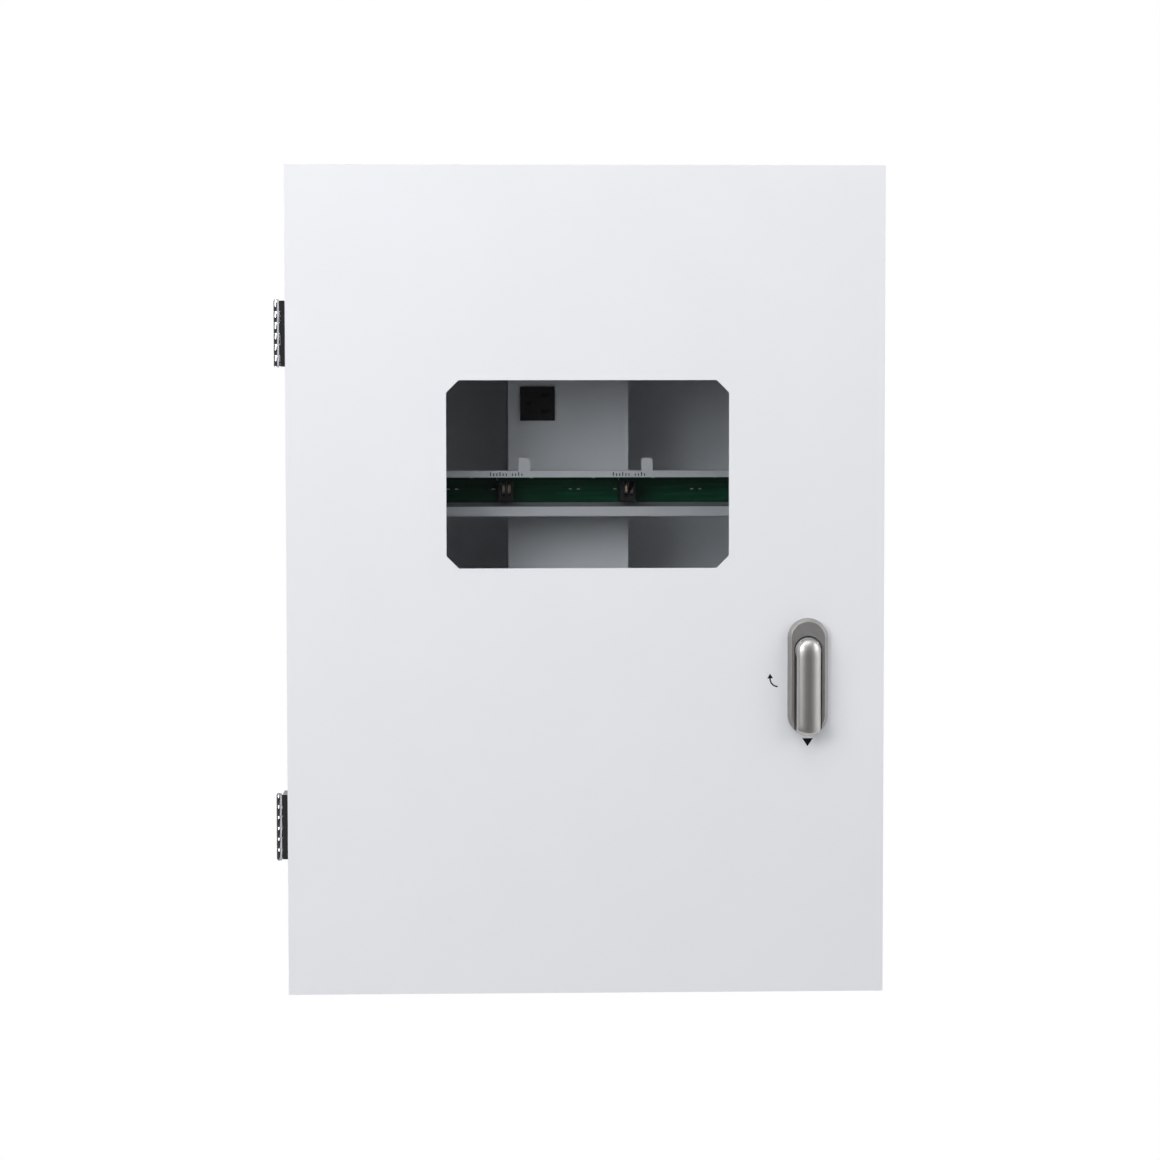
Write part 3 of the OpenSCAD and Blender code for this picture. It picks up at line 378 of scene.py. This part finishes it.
class Piece:
    """One mesh under construction. Each call adds a closed shape in one of the piece's finishes."""

    def __init__(self):
        self.mesh = bmesh.new()

    def _round(self, faces, radius, finish):
        """Gives faces their finish, and rounds the sharp edges between them."""
        for face in faces:
            face.material_index = finish
        if radius > 0:
            edges = {
                e for f in faces for e in f.edges
                if len(e.link_faces) == 2 and e.calc_face_angle(0) > math.radians(SHARP_ANGLE)
            }
            made = bmesh.ops.bevel(self.mesh, geom=list(edges), offset=radius, segments=2,
                                   profile=0.6, affect="EDGES", clamp_overlap=True, material=finish)
            for face in made["faces"]:
                face.material_index = finish

    def box(self, x, y, z, radius=0.0, finish=0):
        """A box between two values on each axis."""
        corners = [(x[0], y[0]), (x[1], y[0]), (x[1], y[1]), (x[0], y[1])]
        self.prism(corners, z, "z", radius, finish)

    def prism(self, outline, span, axis, radius=0.0, finish=0, holes=()):
        """An outline, less its holes, carried along an axis between two heights."""
        mesh, edges = self.mesh, []
        for loop in (outline, *holes):
            ring = [mesh.verts.new(lift(p, span[0], axis)) for p in loop]
            edges += [mesh.edges.new((ring[i], ring[(i + 1) % len(ring)])) for i in range(len(ring))]
        if holes:
            cap = bmesh.ops.triangle_fill(mesh, use_beauty=True, use_dissolve=False, edges=edges)["geom"]
            cap = [g for g in cap if isinstance(g, bmesh.types.BMFace)]
        else:
            cap = [mesh.faces.new([e.verts[0] for e in edges])]
        grown = bmesh.ops.extrude_face_region(mesh, geom=cap, use_keep_orig=True)["geom"]
        shift = lift((0, 0), span[1] - span[0], axis)
        for vert in (g for g in grown if isinstance(g, bmesh.types.BMVert)):
            vert.co += shift
        faces = set(cap)
        for vert in {v for e in edges for v in e.verts}:
            faces.update(vert.link_faces)
        faces.update(g for g in grown if isinstance(g, bmesh.types.BMFace))
        bmesh.ops.recalc_face_normals(mesh, faces=list(faces))
        self._round(list(faces), radius, finish)

    def lathe(self, profile, centre, axis, steps=32, finish=0):
        """A profile of (radius, height) pairs, from radius 0 to radius 0, turned about an axis."""
        mesh, centre = self.mesh, Vector(centre)
        rings = []
        for radius, height in profile:
            if radius < 1e-6:
                rings.append([mesh.verts.new(centre + lift((0, 0), height, axis))])
            else:
                ring = circle_points(0, 0, radius, steps)
                rings.append([mesh.verts.new(centre + lift(p, height, axis)) for p in ring])
        faces = []
        for low, high in zip(rings, rings[1:]):
            for i in range(steps):
                j = (i + 1) % steps
                quad = [low[i % len(low)], low[j % len(low)], high[j % len(high)], high[i % len(high)]]
                faces.append(mesh.faces.new(list(dict.fromkeys(quad))))
        for face in faces:
            face.material_index = finish
        bmesh.ops.recalc_face_normals(mesh, faces=faces)

    def tube(self, path, radius, sides=12, finish=0, stripe=None):
        """A round tube along a path. stripe is (finish, share of the sides it covers, turns per ring)."""
        mesh = self.mesh
        path = [Vector(p) for p in path]
        across = Vector((0.31, 0.24, 0.92))
        rings = []
        for i, point in enumerate(path):
            along = (path[min(i + 1, len(path) - 1)] - path[max(i - 1, 0)]).normalized()
            across = (across - across.dot(along) * along).normalized()
            beside = along.cross(across)
            rings.append([mesh.verts.new(point + radius * (c * across + s * beside))
                          for c, s in circle_points(0, 0, 1, sides)])
        faces = [mesh.faces.new(rings[0][::-1]), mesh.faces.new(rings[-1])]
        for face in faces:
            face.material_index = finish
        for n, (low, high) in enumerate(zip(rings, rings[1:])):
            for i in range(sides):
                j = (i + 1) % sides
                face = mesh.faces.new((low[i], low[j], high[j], high[i]))
                face.material_index = finish
                if stripe and ((i + n * stripe[2]) % sides) < stripe[1] * sides:
                    face.material_index = stripe[0]
                faces.append(face)
        bmesh.ops.recalc_face_normals(mesh, faces=faces)

    def build(self, name, body, finishes, slot=None, replaces=(), crease=35.0):
        """Makes the object, in metres, riding on a body."""
        data = bpy.data.meshes.new(name)
        self.mesh.transform(Matrix.Scale(MM, 4))
        self.mesh.to_mesh(data)
        self.mesh.free()
        for finish in finishes:
            data.materials.append(finish)
        data.shade_smooth()
        data.set_sharp_from_angle(angle=math.radians(crease))
        made = bpy.data.objects.new(name, data)
        bpy.context.scene.collection.objects.link(made)
        if body:
            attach(made, body)
        if replaces:
            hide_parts(*replaces)
        return made


# ---- Handle ----

HANDLE_X, HUB_Z, FACE_Y = 187.5, -58.6, -203.0
BASE_LOW_Z, BASE_R = -113.3, 16.6
LEVER_R, LEVER_UNDER, CROWN_R, CROWN_H = 10.1, 7.3, 16.3, 17.3
# The lever's surface falls away at its rim, from DOME_Z up and from TOE_Z down
RIM_RUN, RIM_FALL = 2.4, 2.2
DOME_Z, DOME_RUN, DOME_FALL = -62, 14.6, 5.5
TOE_Z, TOE_RUN, TOE_FALL = -121, 10, 2.2


def rounded_over(run, length, fall):
    """How far a surface has fallen once it has run this far into a rounded end."""
    share = min(1.0, max(0.0, run / length))
    return fall * (1 - math.sqrt(max(0.0, 1 - share * share)))


def lever_ring(inset, level=None):
    """The lever's outline moved in by inset: points on its crown, or all at one level."""
    half, low_r = LEVER_R - inset, BASE_R - inset
    corner = math.degrees(math.asin(half / low_r))
    corner_z = BASE_LOW_Z - math.sqrt(low_r**2 - half**2)
    toe_steps, side_steps, top_steps = 6, 24, 14
    right = circle_points(0, BASE_LOW_Z, low_r, toe_steps, 270, 270 + corner)
    right += [(half, corner_z + (HUB_Z - corner_z) * i / side_steps) for i in range(1, side_steps)]
    right += circle_points(0, HUB_Z, half, top_steps, 0, 90)
    outline = right + [(-x, z) for x, z in right[-2:0:-1]]
    ring = []
    for x, z in outline:
        height = CROWN_H - CROWN_R + math.sqrt(CROWN_R**2 - x**2)
        height -= rounded_over(RIM_RUN - inset, RIM_RUN, RIM_FALL)
        height -= rounded_over(z - DOME_Z, DOME_RUN, DOME_FALL)
        height -= rounded_over(TOE_Z - z, TOE_RUN, TOE_FALL)
        ring.append(Vector((HANDLE_X + x, FACE_Y - (height if level is None else level), z)))
    return ring


def make_lever(finishes):
    """The lever: crowned across, domed at its top, with soft edges and a flat underside."""
    crown_insets = (0, 0.12, 0.4, 0.8, 1.3, 1.9, 2.6, 4, 5.5, 7, 8.5, 10.08)
    soft_edge = 0.5
    piece = Piece()
    mesh = piece.mesh
    rings = [lever_ring(soft_edge, LEVER_UNDER), lever_ring(0, LEVER_UNDER + soft_edge)]
    rings += [lever_ring(inset) for inset in crown_insets]
    made = [[mesh.verts.new(point) for point in ring] for ring in rings]
    mesh.faces.new(made[0][::-1])
    for low, high in zip(made, made[1:]):
        for i in range(len(low)):
            j = (i + 1) % len(low)
            mesh.faces.new((low[i], low[j], high[j], high[i]))
    bmesh.ops.remove_doubles(mesh, verts=made[-1], dist=0.06)
    bmesh.ops.recalc_face_normals(mesh, faces=mesh.faces)
    piece.build("lever_cast", "lever", [finishes["satin_nickel"]], "satin_nickel", ["lever"], crease=50)


def make_door_print(finishes):
    """Marks printed by the handle: a curved turning arrow, and a triangle at the shut position."""
    arc_x, arc_z, arc_r, half_line = 162.5, -82.8, 6.7, 0.6
    arrow_head = [(153.4, -82.7), (158.3, -82.4), (155.7, -78.5)]
    triangle = [(183.2, -133.6), (192.3, -133.5), (187.7, -140.3)]
    ink = (FACE_Y - 0.03, FACE_Y + 0.05)
    piece = Piece()
    outer = circle_points(arc_x, arc_z, arc_r + half_line, 16, 178, 268)
    inner = circle_points(arc_x, arc_z, arc_r - half_line, 16, 268, 178)
    for outline in (outer + inner, arrow_head, triangle):
        piece.prism(outline, ink, "y")
    piece.build("door_print", "door", [finishes["ink"]])


# ---- Fixings and leads ----

FEET_X, FEET_Z = (-70.3, 47.4), (-128, -32, 200, 300)
CARD_START, CARD_PITCH, CARDS = -180.5, 106, 3
RACK_Y, CARD_Y, BOARD_Y, PLATE_Y = -137.0, -110.4, -23.6, -12.0
M4, M3 = 2, 1.5


def card_starts():
    """The left end of each loop card."""
    return [CARD_START + CARD_PITCH * i for i in range(CARDS)]


def pan_head(piece, centre, axis, sign, radius):
    """A domed screw head whose cross recess is a thin cross of painted shade; finish 0 is metal and
    finish 1 the shade.
    """
    tall, wide, painted_cross_half_depth = 0.9 * radius, 1.85 * radius, 0.02
    dome = [(0, 0), (wide, 0), (wide, tall * 0.45), (wide * 0.93, tall * 0.72)]
    dome += [(wide * 0.75, tall * 0.9), (wide * 0.45, tall * 0.98), (0, tall)]
    piece.lathe([(r, h * sign) for r, h in dome], centre, axis, 28, 0)
    # Painted shade: the recess is not cut in; a thin flat cross in finish 1 lies on the dome's top
    top = Vector(centre) + lift((0, 0), tall * sign, axis)
    arm, narrow = wide * 0.5, wide * 0.11
    for across, along in ((narrow, arm), (arm, narrow)):
        half = lift((across, along), painted_cross_half_depth, axis)
        piece.box(*[about(top[i], half[i]) for i in range(3)], finish=1)


def slotted_head(piece, centre, radius, depth=0.7, tilt=0.0, finish=0):
    """A flat screw head facing -Y with a real slot across it, turned by tilt degrees."""
    x, y, z = centre
    floor = y - depth * 0.3
    turn = Matrix.Rotation(math.radians(tilt), 2)
    slot = [turn @ Vector(p) for p in ((-0.8, -0.13), (0.8, -0.13), (0.8, 0.13), (-0.8, 0.13))]
    slot = [(x + radius * p.x, z + radius * p.y) for p in slot]
    rim = circle_points(x, z, radius, 24)
    piece.prism(rim, (floor, y), "y", 0, finish)
    piece.prism(rim, (y - depth, floor), "y", 0, finish, holes=[slot])


def make_screws(finishes):
    """Cross-recess pan heads in place of the CAD's plain ones."""
    gland_top, upper_flange, lower_flange = 349.05, 92.55, 53.15
    bracket_z, tray_z = 73, -256
    # Finish 1, ink, is the painted shade of the cross recesses
    metal = [finishes["solder"], finishes["ink"]]
    large = Piece()
    for x in (-147, 0, 147):
        for y in (-133, -47):
            pan_head(large, (x, y, gland_top), "z", 1, M4)
    for x in FEET_X:
        for z in FEET_Z:
            pan_head(large, (x, PLATE_Y - 1.25, z), "y", -1, M4)
    for x in (-182, 224):
        pan_head(large, (x, RACK_Y + 14, upper_flange), "z", 1, M4)
        pan_head(large, (x, RACK_Y + 14, lower_flange), "z", -1, M4)
        pan_head(large, (x, PLATE_Y - 1.3, bracket_z), "y", -1, M4)
    for x in (-167, 167):
        pan_head(large, (x, PLATE_Y - 1.45, tray_z), "y", -1, M4)
    large.build("pan_heads_m4", "cabinet", metal, "zinc", ["pan_screws_m4"])
    small = Piece()
    for x in (-179, -77):
        for z in (-150, -10):
            pan_head(small, (x, BOARD_Y - 0.05, z), "y", -1, M3)
    for start in card_starts():
        for x in (30, 84):
            pan_head(small, (start + x, CARD_Y - 0.05, 88.2), "y", -1, M3)
    small.build("pan_heads_m3", "cabinet", metal, "zinc", ["pan_screws_m3"])


# Each lead's finish, radius and route from end to end
LEADS = {
    "lead_link": ("sleeve_blue", 1.6, (
        (-16, -25.8, -212), (-16, -28, -204), (0, -30, -200), (16, -28, -204), (16, -25.8, -212),
    )),
    "lead_plus": ("lead_sleeve", 1.6, (
        (-143, -25.8, -212), (-143, -27, -200), (-120, -30, -188), (-60, -34, -184),
        (-36, -36, -168), (-34, -36, -140), (-34, -33, -109.4),
    )),
    "lead_minus": ("sleeve_black", 1.6, (
        (143, -25.8, -212), (143, -27, -200), (110, -30, -190), (20, -34, -186),
        (-16, -36, -170), (-20, -36, -140), (-20, -33, -109.4),
    )),
    "lead_live": ("sleeve_brown", 1.4, (
        (79, -46, -101.8), (79, -46, -116), (66, -44, -140), (40, -42, -170),
        (14, -40, -172), (4, -38, -150), (2, -33, -109.4),
    )),
    "lead_neutral": ("sleeve_blue", 1.4, (
        (96.4, -46, -101.8), (96.4, -46, -120), (76, -44, -150), (44, -42, -178),
        (18, -40, -181), (12, -38, -152), (12, -33, -109.4),
    )),
    "lead_board": ("lead_sleeve", 1.4, (
        (-167, -26.8, -153.6), (-167, -28, -166), (-130, -32, -178), (-70, -38, -180),
        (-50, -40, -166), (-46, -38, -140), (-46, -33, -109.4),
    )),
}
# The battery posts that the push-on sleeves of either colour cover
BOOTS = {"boots_plus": ("lead_sleeve", (-143, 16)), "boots_minus": ("sleeve_black", (-16, 143))}


def make_leads(finishes):
    """The held leads between batteries, breaker, board and power supply, and their push-on sleeves."""
    for name, (finish, radius, route) in LEADS.items():
        piece = Piece()
        piece.tube(smooth_path(route, 12), radius, 14)
        made = piece.build(name, "cabinet", [finishes[finish]], "lead_sleeve")
        if name == "lead_link":
            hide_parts("internal_leads")
    collar = [(0, 0), (2.9, 0), (2.3, 3.4), (1.9, 3.6), (0, 3.6)]
    for name, (finish, posts) in BOOTS.items():
        piece = Piece()
        for x in posts:
            piece.box(about(x, 4.1), (-28, -23.4), (-221.6, -213.2), 0.9)
            piece.lathe(collar, (x, -25.8, -213.6), "z", 20)
        piece.build(name, "cabinet", [finishes[finish]], "lead_sleeve")


EARTH_STUD, DOOR_STUD = Vector((-240, -120, -140)), Vector((-196, -190.5, -140))
EARTH_ROUTE = (
    (-240, -129, -146), (-238.5, -131, -152), (-231, -150, -176), (-222, -168, -189),
    (-211, -180.5, -184), (-202, -187.5, -168), (-196.6, -190.3, -154), (-196, -190.5, -150),
)


def ring_terminal(name, body, axis, stud, crimp, finishes):
    """A flat ring round a stud, and the crimp that holds the lead's end."""
    ring = Piece()
    middle = (stud.y, stud.z) if axis == "x" else (stud.x, stud.z)
    height = stud.x if axis == "x" else stud.y
    hole = circle_points(*middle, 3.1, 32)
    ring.prism(circle_points(*middle, 5.4, 32), about(height, 0.5), axis, 0.12, holes=[hole])
    ring.tube(crimp, 2.6, 18)
    ring.build(name, body, [finishes["solder"]], "zinc")


def make_earth_lead(finishes):
    """The striped earth lead, bending between cabinet and door, and a ring terminal at each end."""
    stripe = (1, 0.4, 0.35)
    piece = Piece()
    piece.tube(smooth_path(EARTH_ROUTE, 16), 2.2, 16, 0, stripe)
    striped = [finishes["earth_sleeve"], finishes["earth_stripe"]]
    lead = piece.build("earth_lead_striped", None, striped, "earth_sleeve", ["earth_lead"], crease=80)
    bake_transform(lead)
    at_wall = [(-240, -124.6, -141.8), (-240, -129.6, -146.6)]
    at_door = [(-196, -190.5, -144.4), (-196, -190.5, -151)]
    ring_terminal("earth_ring_cabinet", "cabinet", "x", EARTH_STUD, at_wall, finishes)
    ring_terminal("earth_ring_door", "door", "y", DOOR_STUD, at_door, finishes)


# ---- Card rack, boards and terminals ----

# Small parts are let into the surface they stand on by this much
SINK = 0.02


def index_ticks(piece, start):
    """Two groups of ticks on the upper rail over a card's left end, every third one taller."""
    for i in range(11):
        x, tall = start - 6 + 2.7 * i, 3.2 if i % 3 == 0 else 2.1
        if i != 6 and x > -190:
            piece.box((x, x + 0.8), (RACK_Y - 0.03, RACK_Y + 0.05), (88, 88 + tall))


def jack_spring(piece, x):
    """One contact of a jack: two bowed wires side by side."""
    bow = [(-5.6, 80.6), (-13.4, 79.8), (-14.4, 76.2), (-13.4, 72.8), (-6, 72.3)]
    for side in (-0.6, 0.6):
        path = [(x + side, CARD_Y + y, z) for y, z in bow]
        piece.tube(smooth_path(path, 6), 0.45, 10)


def card_part(piece, x):
    """A small two-ended part on the front of a card: a tan body between bright end caps."""
    piece.box(about(x, 0.8), (CARD_Y - 0.6, CARD_Y - SINK), (75.6, 76.5), 0.1, 1)
    for side in (-0.95, 0.95):
        piece.box(about(x + side, 0.25), (CARD_Y - 0.65, CARD_Y - SINK), (75.5, 76.6), 0.08, 0)


def make_rack_details(finishes):
    """Rail ticks, jack springs, card-front parts, and black joiners that darken the card seams as painted
    shade.
    """
    marks, springs, parts, seam_shade_joiners = Piece(), Piece(), Piece(), Piece()
    for start in card_starts():
        index_ticks(marks, start)
        for x in (5.8, 10.6):
            jack_spring(springs, start + x)
        for x in (64, 71, 103):
            card_part(parts, start + x)
    # Painted shade: a black block behind each seam keeps the gap dark; it also stands for a joining
    # connector
    for start in card_starts()[1:]:
        seam_shade_joiners.box(about(start, 5), (CARD_Y + 1.65, CARD_Y + 4.8), (62, 83.6), 0.4)
    seam_shade_joiners.build("card_seam_shade_joiners", "cabinet", [finishes["black_plastic"]])
    marks.build("rail_index_ticks", "cabinet", [finishes["ink"]])
    springs.build(
        "jack_springs", "cabinet", [finishes["gold_contact"]], "gold_contact", ["jack_contacts"]
    )
    parts.build("card_parts", "cabinet", [finishes["solder"], finishes["component_tan"]])


def on_board(piece, x, z, tall, radius, finish):
    """A small block on the main board: its spans in x and z, and how far it stands out."""
    piece.box(x, (BOARD_Y - tall, BOARD_Y - SINK), z, radius, finish)


def pinned_row(piece, x, z, count, pitch, along, finish=0):
    """A row of gull-wing pins on the board."""
    for i in range(count):
        shift = (i - (count - 1) / 2) * pitch
        px, pz = (x + shift, z) if along == "x" else (x, z + shift)
        long_x, long_z = (0.25, 0.9) if along == "x" else (0.9, 0.25)
        on_board(piece, about(px, long_x), about(pz, long_z), 0.35, 0, finish)


def capacitor(piece, x, z, radius, tall, sleeve, top):
    """An upright electrolytic capacitor: a grooved sleeve with a bare top."""
    low, neck, top_r = BOARD_Y - SINK, radius * 0.93, radius * 0.78
    groove = [(0, 0), (radius, 0), (radius, tall * 0.12), (neck, tall * 0.16), (radius, tall * 0.2)]
    groove += [(radius, tall - 0.5), (neck, tall), (radius * 0.8, tall), (0, tall)]
    piece.lathe([(r, -h) for r, h in groove], (x, low, z), "y", 28, sleeve)
    piece.lathe([(0, 0), (top_r, 0), (top_r, -0.05), (0, -0.06)], (x, low - tall, z), "y", 28, top)


def axial_part(piece, x, wire, body):
    """A banded part lying along z on bent wires."""
    path = [(0, -104), (1.6, -104.4), (1.8, -106), (1.8, -114), (1.6, -115.6), (0, -116)]
    piece.tube([(x, BOARD_Y - h, z) for h, z in path], 0.3, 8, wire)
    for low, radius, length, finish in ((-112.5, 1.3, 5, body), (-108.6, 1.32, 0.8, wire)):
        profile = [(0, 0), (radius, 0), (radius, length), (0, length)]
        piece.lathe(profile, (x, BOARD_Y - 1.8, low), "z", 16, finish)


def make_board_parts(finishes):
    """Small parts of the main board, round the chips, relays and terminals that the CAD has."""
    metal, tan, lens, black, sleeve = range(5)
    piece = Piece()
    # Pins along the edges of the square chip and of the three long ones
    for side in (-1, 1):
        pinned_row(piece, -128 + 11.9 * side, -72, 17, 1.2, "z", metal)
        pinned_row(piece, -128, -72 + 11.9 * side, 17, 1.2, "x", metal)
        pinned_row(piece, -152 + 6.4 * side, -62, 13, 1.27, "z", metal)
        pinned_row(piece, -103 + 6.4 * side, -62, 10, 1.27, "z", metal)
        pinned_row(piece, -128 + 5.9 * side, -98, 4, 1.27, "z", metal)
    # A row of status lamps, each over two small parts with bright end caps
    for i in range(9):
        x = -164 + 9 * i
        on_board(piece, about(x, 1.1), (-36.8, -35.2), 1.1, 0.25, lens)
        for low, finish in ((-42.6, tan), (-46.4, black)):
            on_board(piece, about(x, 0.8), (low, low + 2.0), 0.6, 0.1, finish)
            for z in (low - 0.2, low + 1.8):
                on_board(piece, about(x, 0.85), (z, z + 0.4), 0.65, 0.05, metal)
    for i in range(7):
        x = -142 + 4.4 * i
        on_board(piece, about(x, 0.8), (-91, -88.6), 0.6, 0.1, tan)
        on_board(piece, about(x, 0.85), (-91.2, -90.8), 0.65, 0.05, metal)
    for x in (-164, -150):
        capacitor(piece, x, -127, 5, 12, sleeve, metal)
    capacitor(piece, -135, -127, 4, 9, sleeve, metal)
    for x in (-139.5, -116):
        capacitor(piece, x, -51, 2.8, 6, sleeve, metal)
    for x in (-160, -154, -148, -142, -136):
        axial_part(piece, x, metal, black)
    for i in range(5):
        for k in (-1, 0, 1):
            place = (-167 + 15.6 * i + 5 * k, BOARD_Y - 11.0, -146)
            slotted_head(piece, place, 1.75, 0.5, 20 + 31 * (i + 2 * k), metal)
    # A box header and its two rows of pins
    piece.box((-86.2, -84.2), (BOARD_Y - 9.6, BOARD_Y - 9), (-80, -48), 0, black)
    for i in range(10):
        z = -80.6 + 3.4 * i
        for x in (-85.4, -82.8):
            piece.box(about(x, 0.3), (BOARD_Y - 9.9, BOARD_Y - 8.8), (z, z + 0.6), 0, metal)
    names = ("solder", "component_tan", "lamp_lens", "black_plastic", "sleeve_black")
    piece.build("board_small_parts", "cabinet", [finishes[name] for name in names])


def rail_terminal(piece, x, front, number, metal, dark, tile):
    """One rail terminal's two clamping screws, two wire entries and blank marker tile."""
    middle_z, screw_z, entry_z = 235, 6.2, 13.2
    for side in (-1, 1):
        place = (x, front + 0.1, middle_z + screw_z * side)
        slotted_head(piece, place, 1.9, 0.35, 37 * number + 60 * side, metal)
        z, y = middle_z + entry_z * side, front + 8.3
        entry = [(-1.1, 2.1), (1.3, 3.4), (3.2, -0.6), (0.8, -1.9)]
        entry = [(y + out, z + up * side) for out, up in entry]
        piece.prism(entry, about(x, 1.7), "x", 0.1, dark)
    piece.box(about(x, 2.6), (front - 0.4, front + 0.1), (233, 237), 0.15, tile)


def make_terminal_details(finishes):
    """Screws, wire entries and blank tiles on the rail terminals, breaker and earth bar."""
    metal, dark, tile, green = range(4)
    piece = Piece()
    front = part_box("field_terminals")[0].y / MM
    for first, count in ((-180, 15), (62, 25)):
        for i in range(count):
            rail_terminal(piece, first + 6.2 * i + 3, front, i, metal, dark, tile)
    for x in (79, 96.4):
        for z in (-91, -29):
            slotted_head(piece, (x, -55.2, z), 2.7, 0.8, 45, metal)
    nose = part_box("breaker_body")[0].y / MM
    piece.box((73, 102.4), (nose - 0.15, nose + 0.2), (-79.5, -74), 0.1, tile)
    piece.box((84.4, 91), (nose - 0.2, nose + 0.2), (-44.5, -41), 0.15, green)
    names = ("solder", "black_plastic", "label_stock", "terminal_green")
    piece.build("terminal_details", "cabinet", [finishes[name] for name in names])
    bar = Piece()
    for i in range(10):
        slotted_head(bar, (136.5 + 8 * i, -29.0, -130), 2.8, 0.9, 25 + 47 * i)
    bar.build("earth_bar_heads", "cabinet", [finishes["solder"]])


def make_battery_details(finishes):
    """Lid seams, vent strips and a blank band on each battery."""
    seam, band = range(2)
    for name, left in (("battery_trim_1", -155), ("battery_trim_2", 4)):
        piece = Piece()
        piece.box((left + 30, left + 121), (-62, -36), (-222.4, -221.7), 0.25, seam)
        for i in range(6):
            piece.box((left + 36 + 14 * i, left + 46 + 14 * i), (-52, -46), (-221.9, -221.2), 0.2, seam)
        piece.box((left + 14, left + 137), (-81.15, -80.8), (-240, -228), 0.05, band)
        piece.build(name, "cabinet", [finishes["battery_case"], finishes["label_stock"]], "battery_case")


# ---- CAD nodes ----

# Nodes whose finish is a variant of their slot's
OWN_FINISH = {
    "handle_base": "cast_nickel",
    "card_rail_lower": "rail_zinc_painted_shade",
    "card_rail_upper": "rail_zinc_painted_shade",
}

# Rounding of sheet edges and moulded edges, in millimetres, by node
EDGES = {
    "door_panel": 0.5, "cabinet_back": 0.3, "cabinet_sides": 0.4, "cabinet_ends": 0.4,
    "gland_plate": 0.3, "mounting_plate": 0.4, "column_cover": 0.4, "psu_case": 0.3,
    "service_socket": 0.35, "rack_brackets": 0.25, "card_rail_lower": 0.25, "card_rail_upper": 0.25,
    "line_jacks": 0.3, "battery_tray": 0.3, "battery_strap": 0.3, "window_retainer": 0.2,
    "duct_cover": 0.3, "handle_base": 0.35, "breaker_body": 0.6, "board_relays": 0.5,
    "hinge_body_leaves": 0.12, "hinge_door_leaves": 0.12, "door_gasket": 2.0, "tongue": 0.4,
    "handle_nut": 0.4, "earth_bar": 0.3,
}


def dress_cad(nodes, record, finishes):
    """Gives each CAD node its finish and softens its edges; its own mesh stays as it is."""
    weld_gap, flat_angle = 0.002, 0.5
    slots = {part["node"]: part["material_slot"] for part in record["subparts"]}
    for name, node in nodes.items():
        finish = finishes[OWN_FINISH.get(name, slots[name])]
        for slot in node.material_slots:
            slot.material = finish
        if name not in EDGES:
            continue
        weld = node.modifiers.new("join_faces", "WELD")
        weld.merge_threshold = weld_gap * MM
        flat = node.modifiers.new("whole_faces", "DECIMATE")
        flat.decimate_type, flat.angle_limit = "DISSOLVE", math.radians(flat_angle)
        soft = node.modifiers.new("soft_edges", "BEVEL")
        soft.width, soft.segments, soft.limit_method = EDGES[name] * MM, 2, "ANGLE"
        soft.angle_limit = math.radians(SHARP_ANGLE)
        soft.harden_normals = True


# ---- Main ----

MAKERS = (
    make_lever,
    make_door_print,
    make_screws,
    make_leads,
    make_earth_lead,
    make_rack_details,
    make_board_parts,
    make_terminal_details,
    make_battery_details,
)

make_camera()
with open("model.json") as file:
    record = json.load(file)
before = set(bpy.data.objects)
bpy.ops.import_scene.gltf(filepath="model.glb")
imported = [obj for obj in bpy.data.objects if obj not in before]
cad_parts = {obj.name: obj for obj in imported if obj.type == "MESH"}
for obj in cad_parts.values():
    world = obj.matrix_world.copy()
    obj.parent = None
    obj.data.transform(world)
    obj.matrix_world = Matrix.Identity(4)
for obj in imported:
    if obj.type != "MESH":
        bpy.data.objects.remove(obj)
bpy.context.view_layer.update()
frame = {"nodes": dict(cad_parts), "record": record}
finishes = make_finishes()
make_studio()
dress_cad(frame["nodes"], frame["record"], finishes)
for make in MAKERS:
    make(finishes)
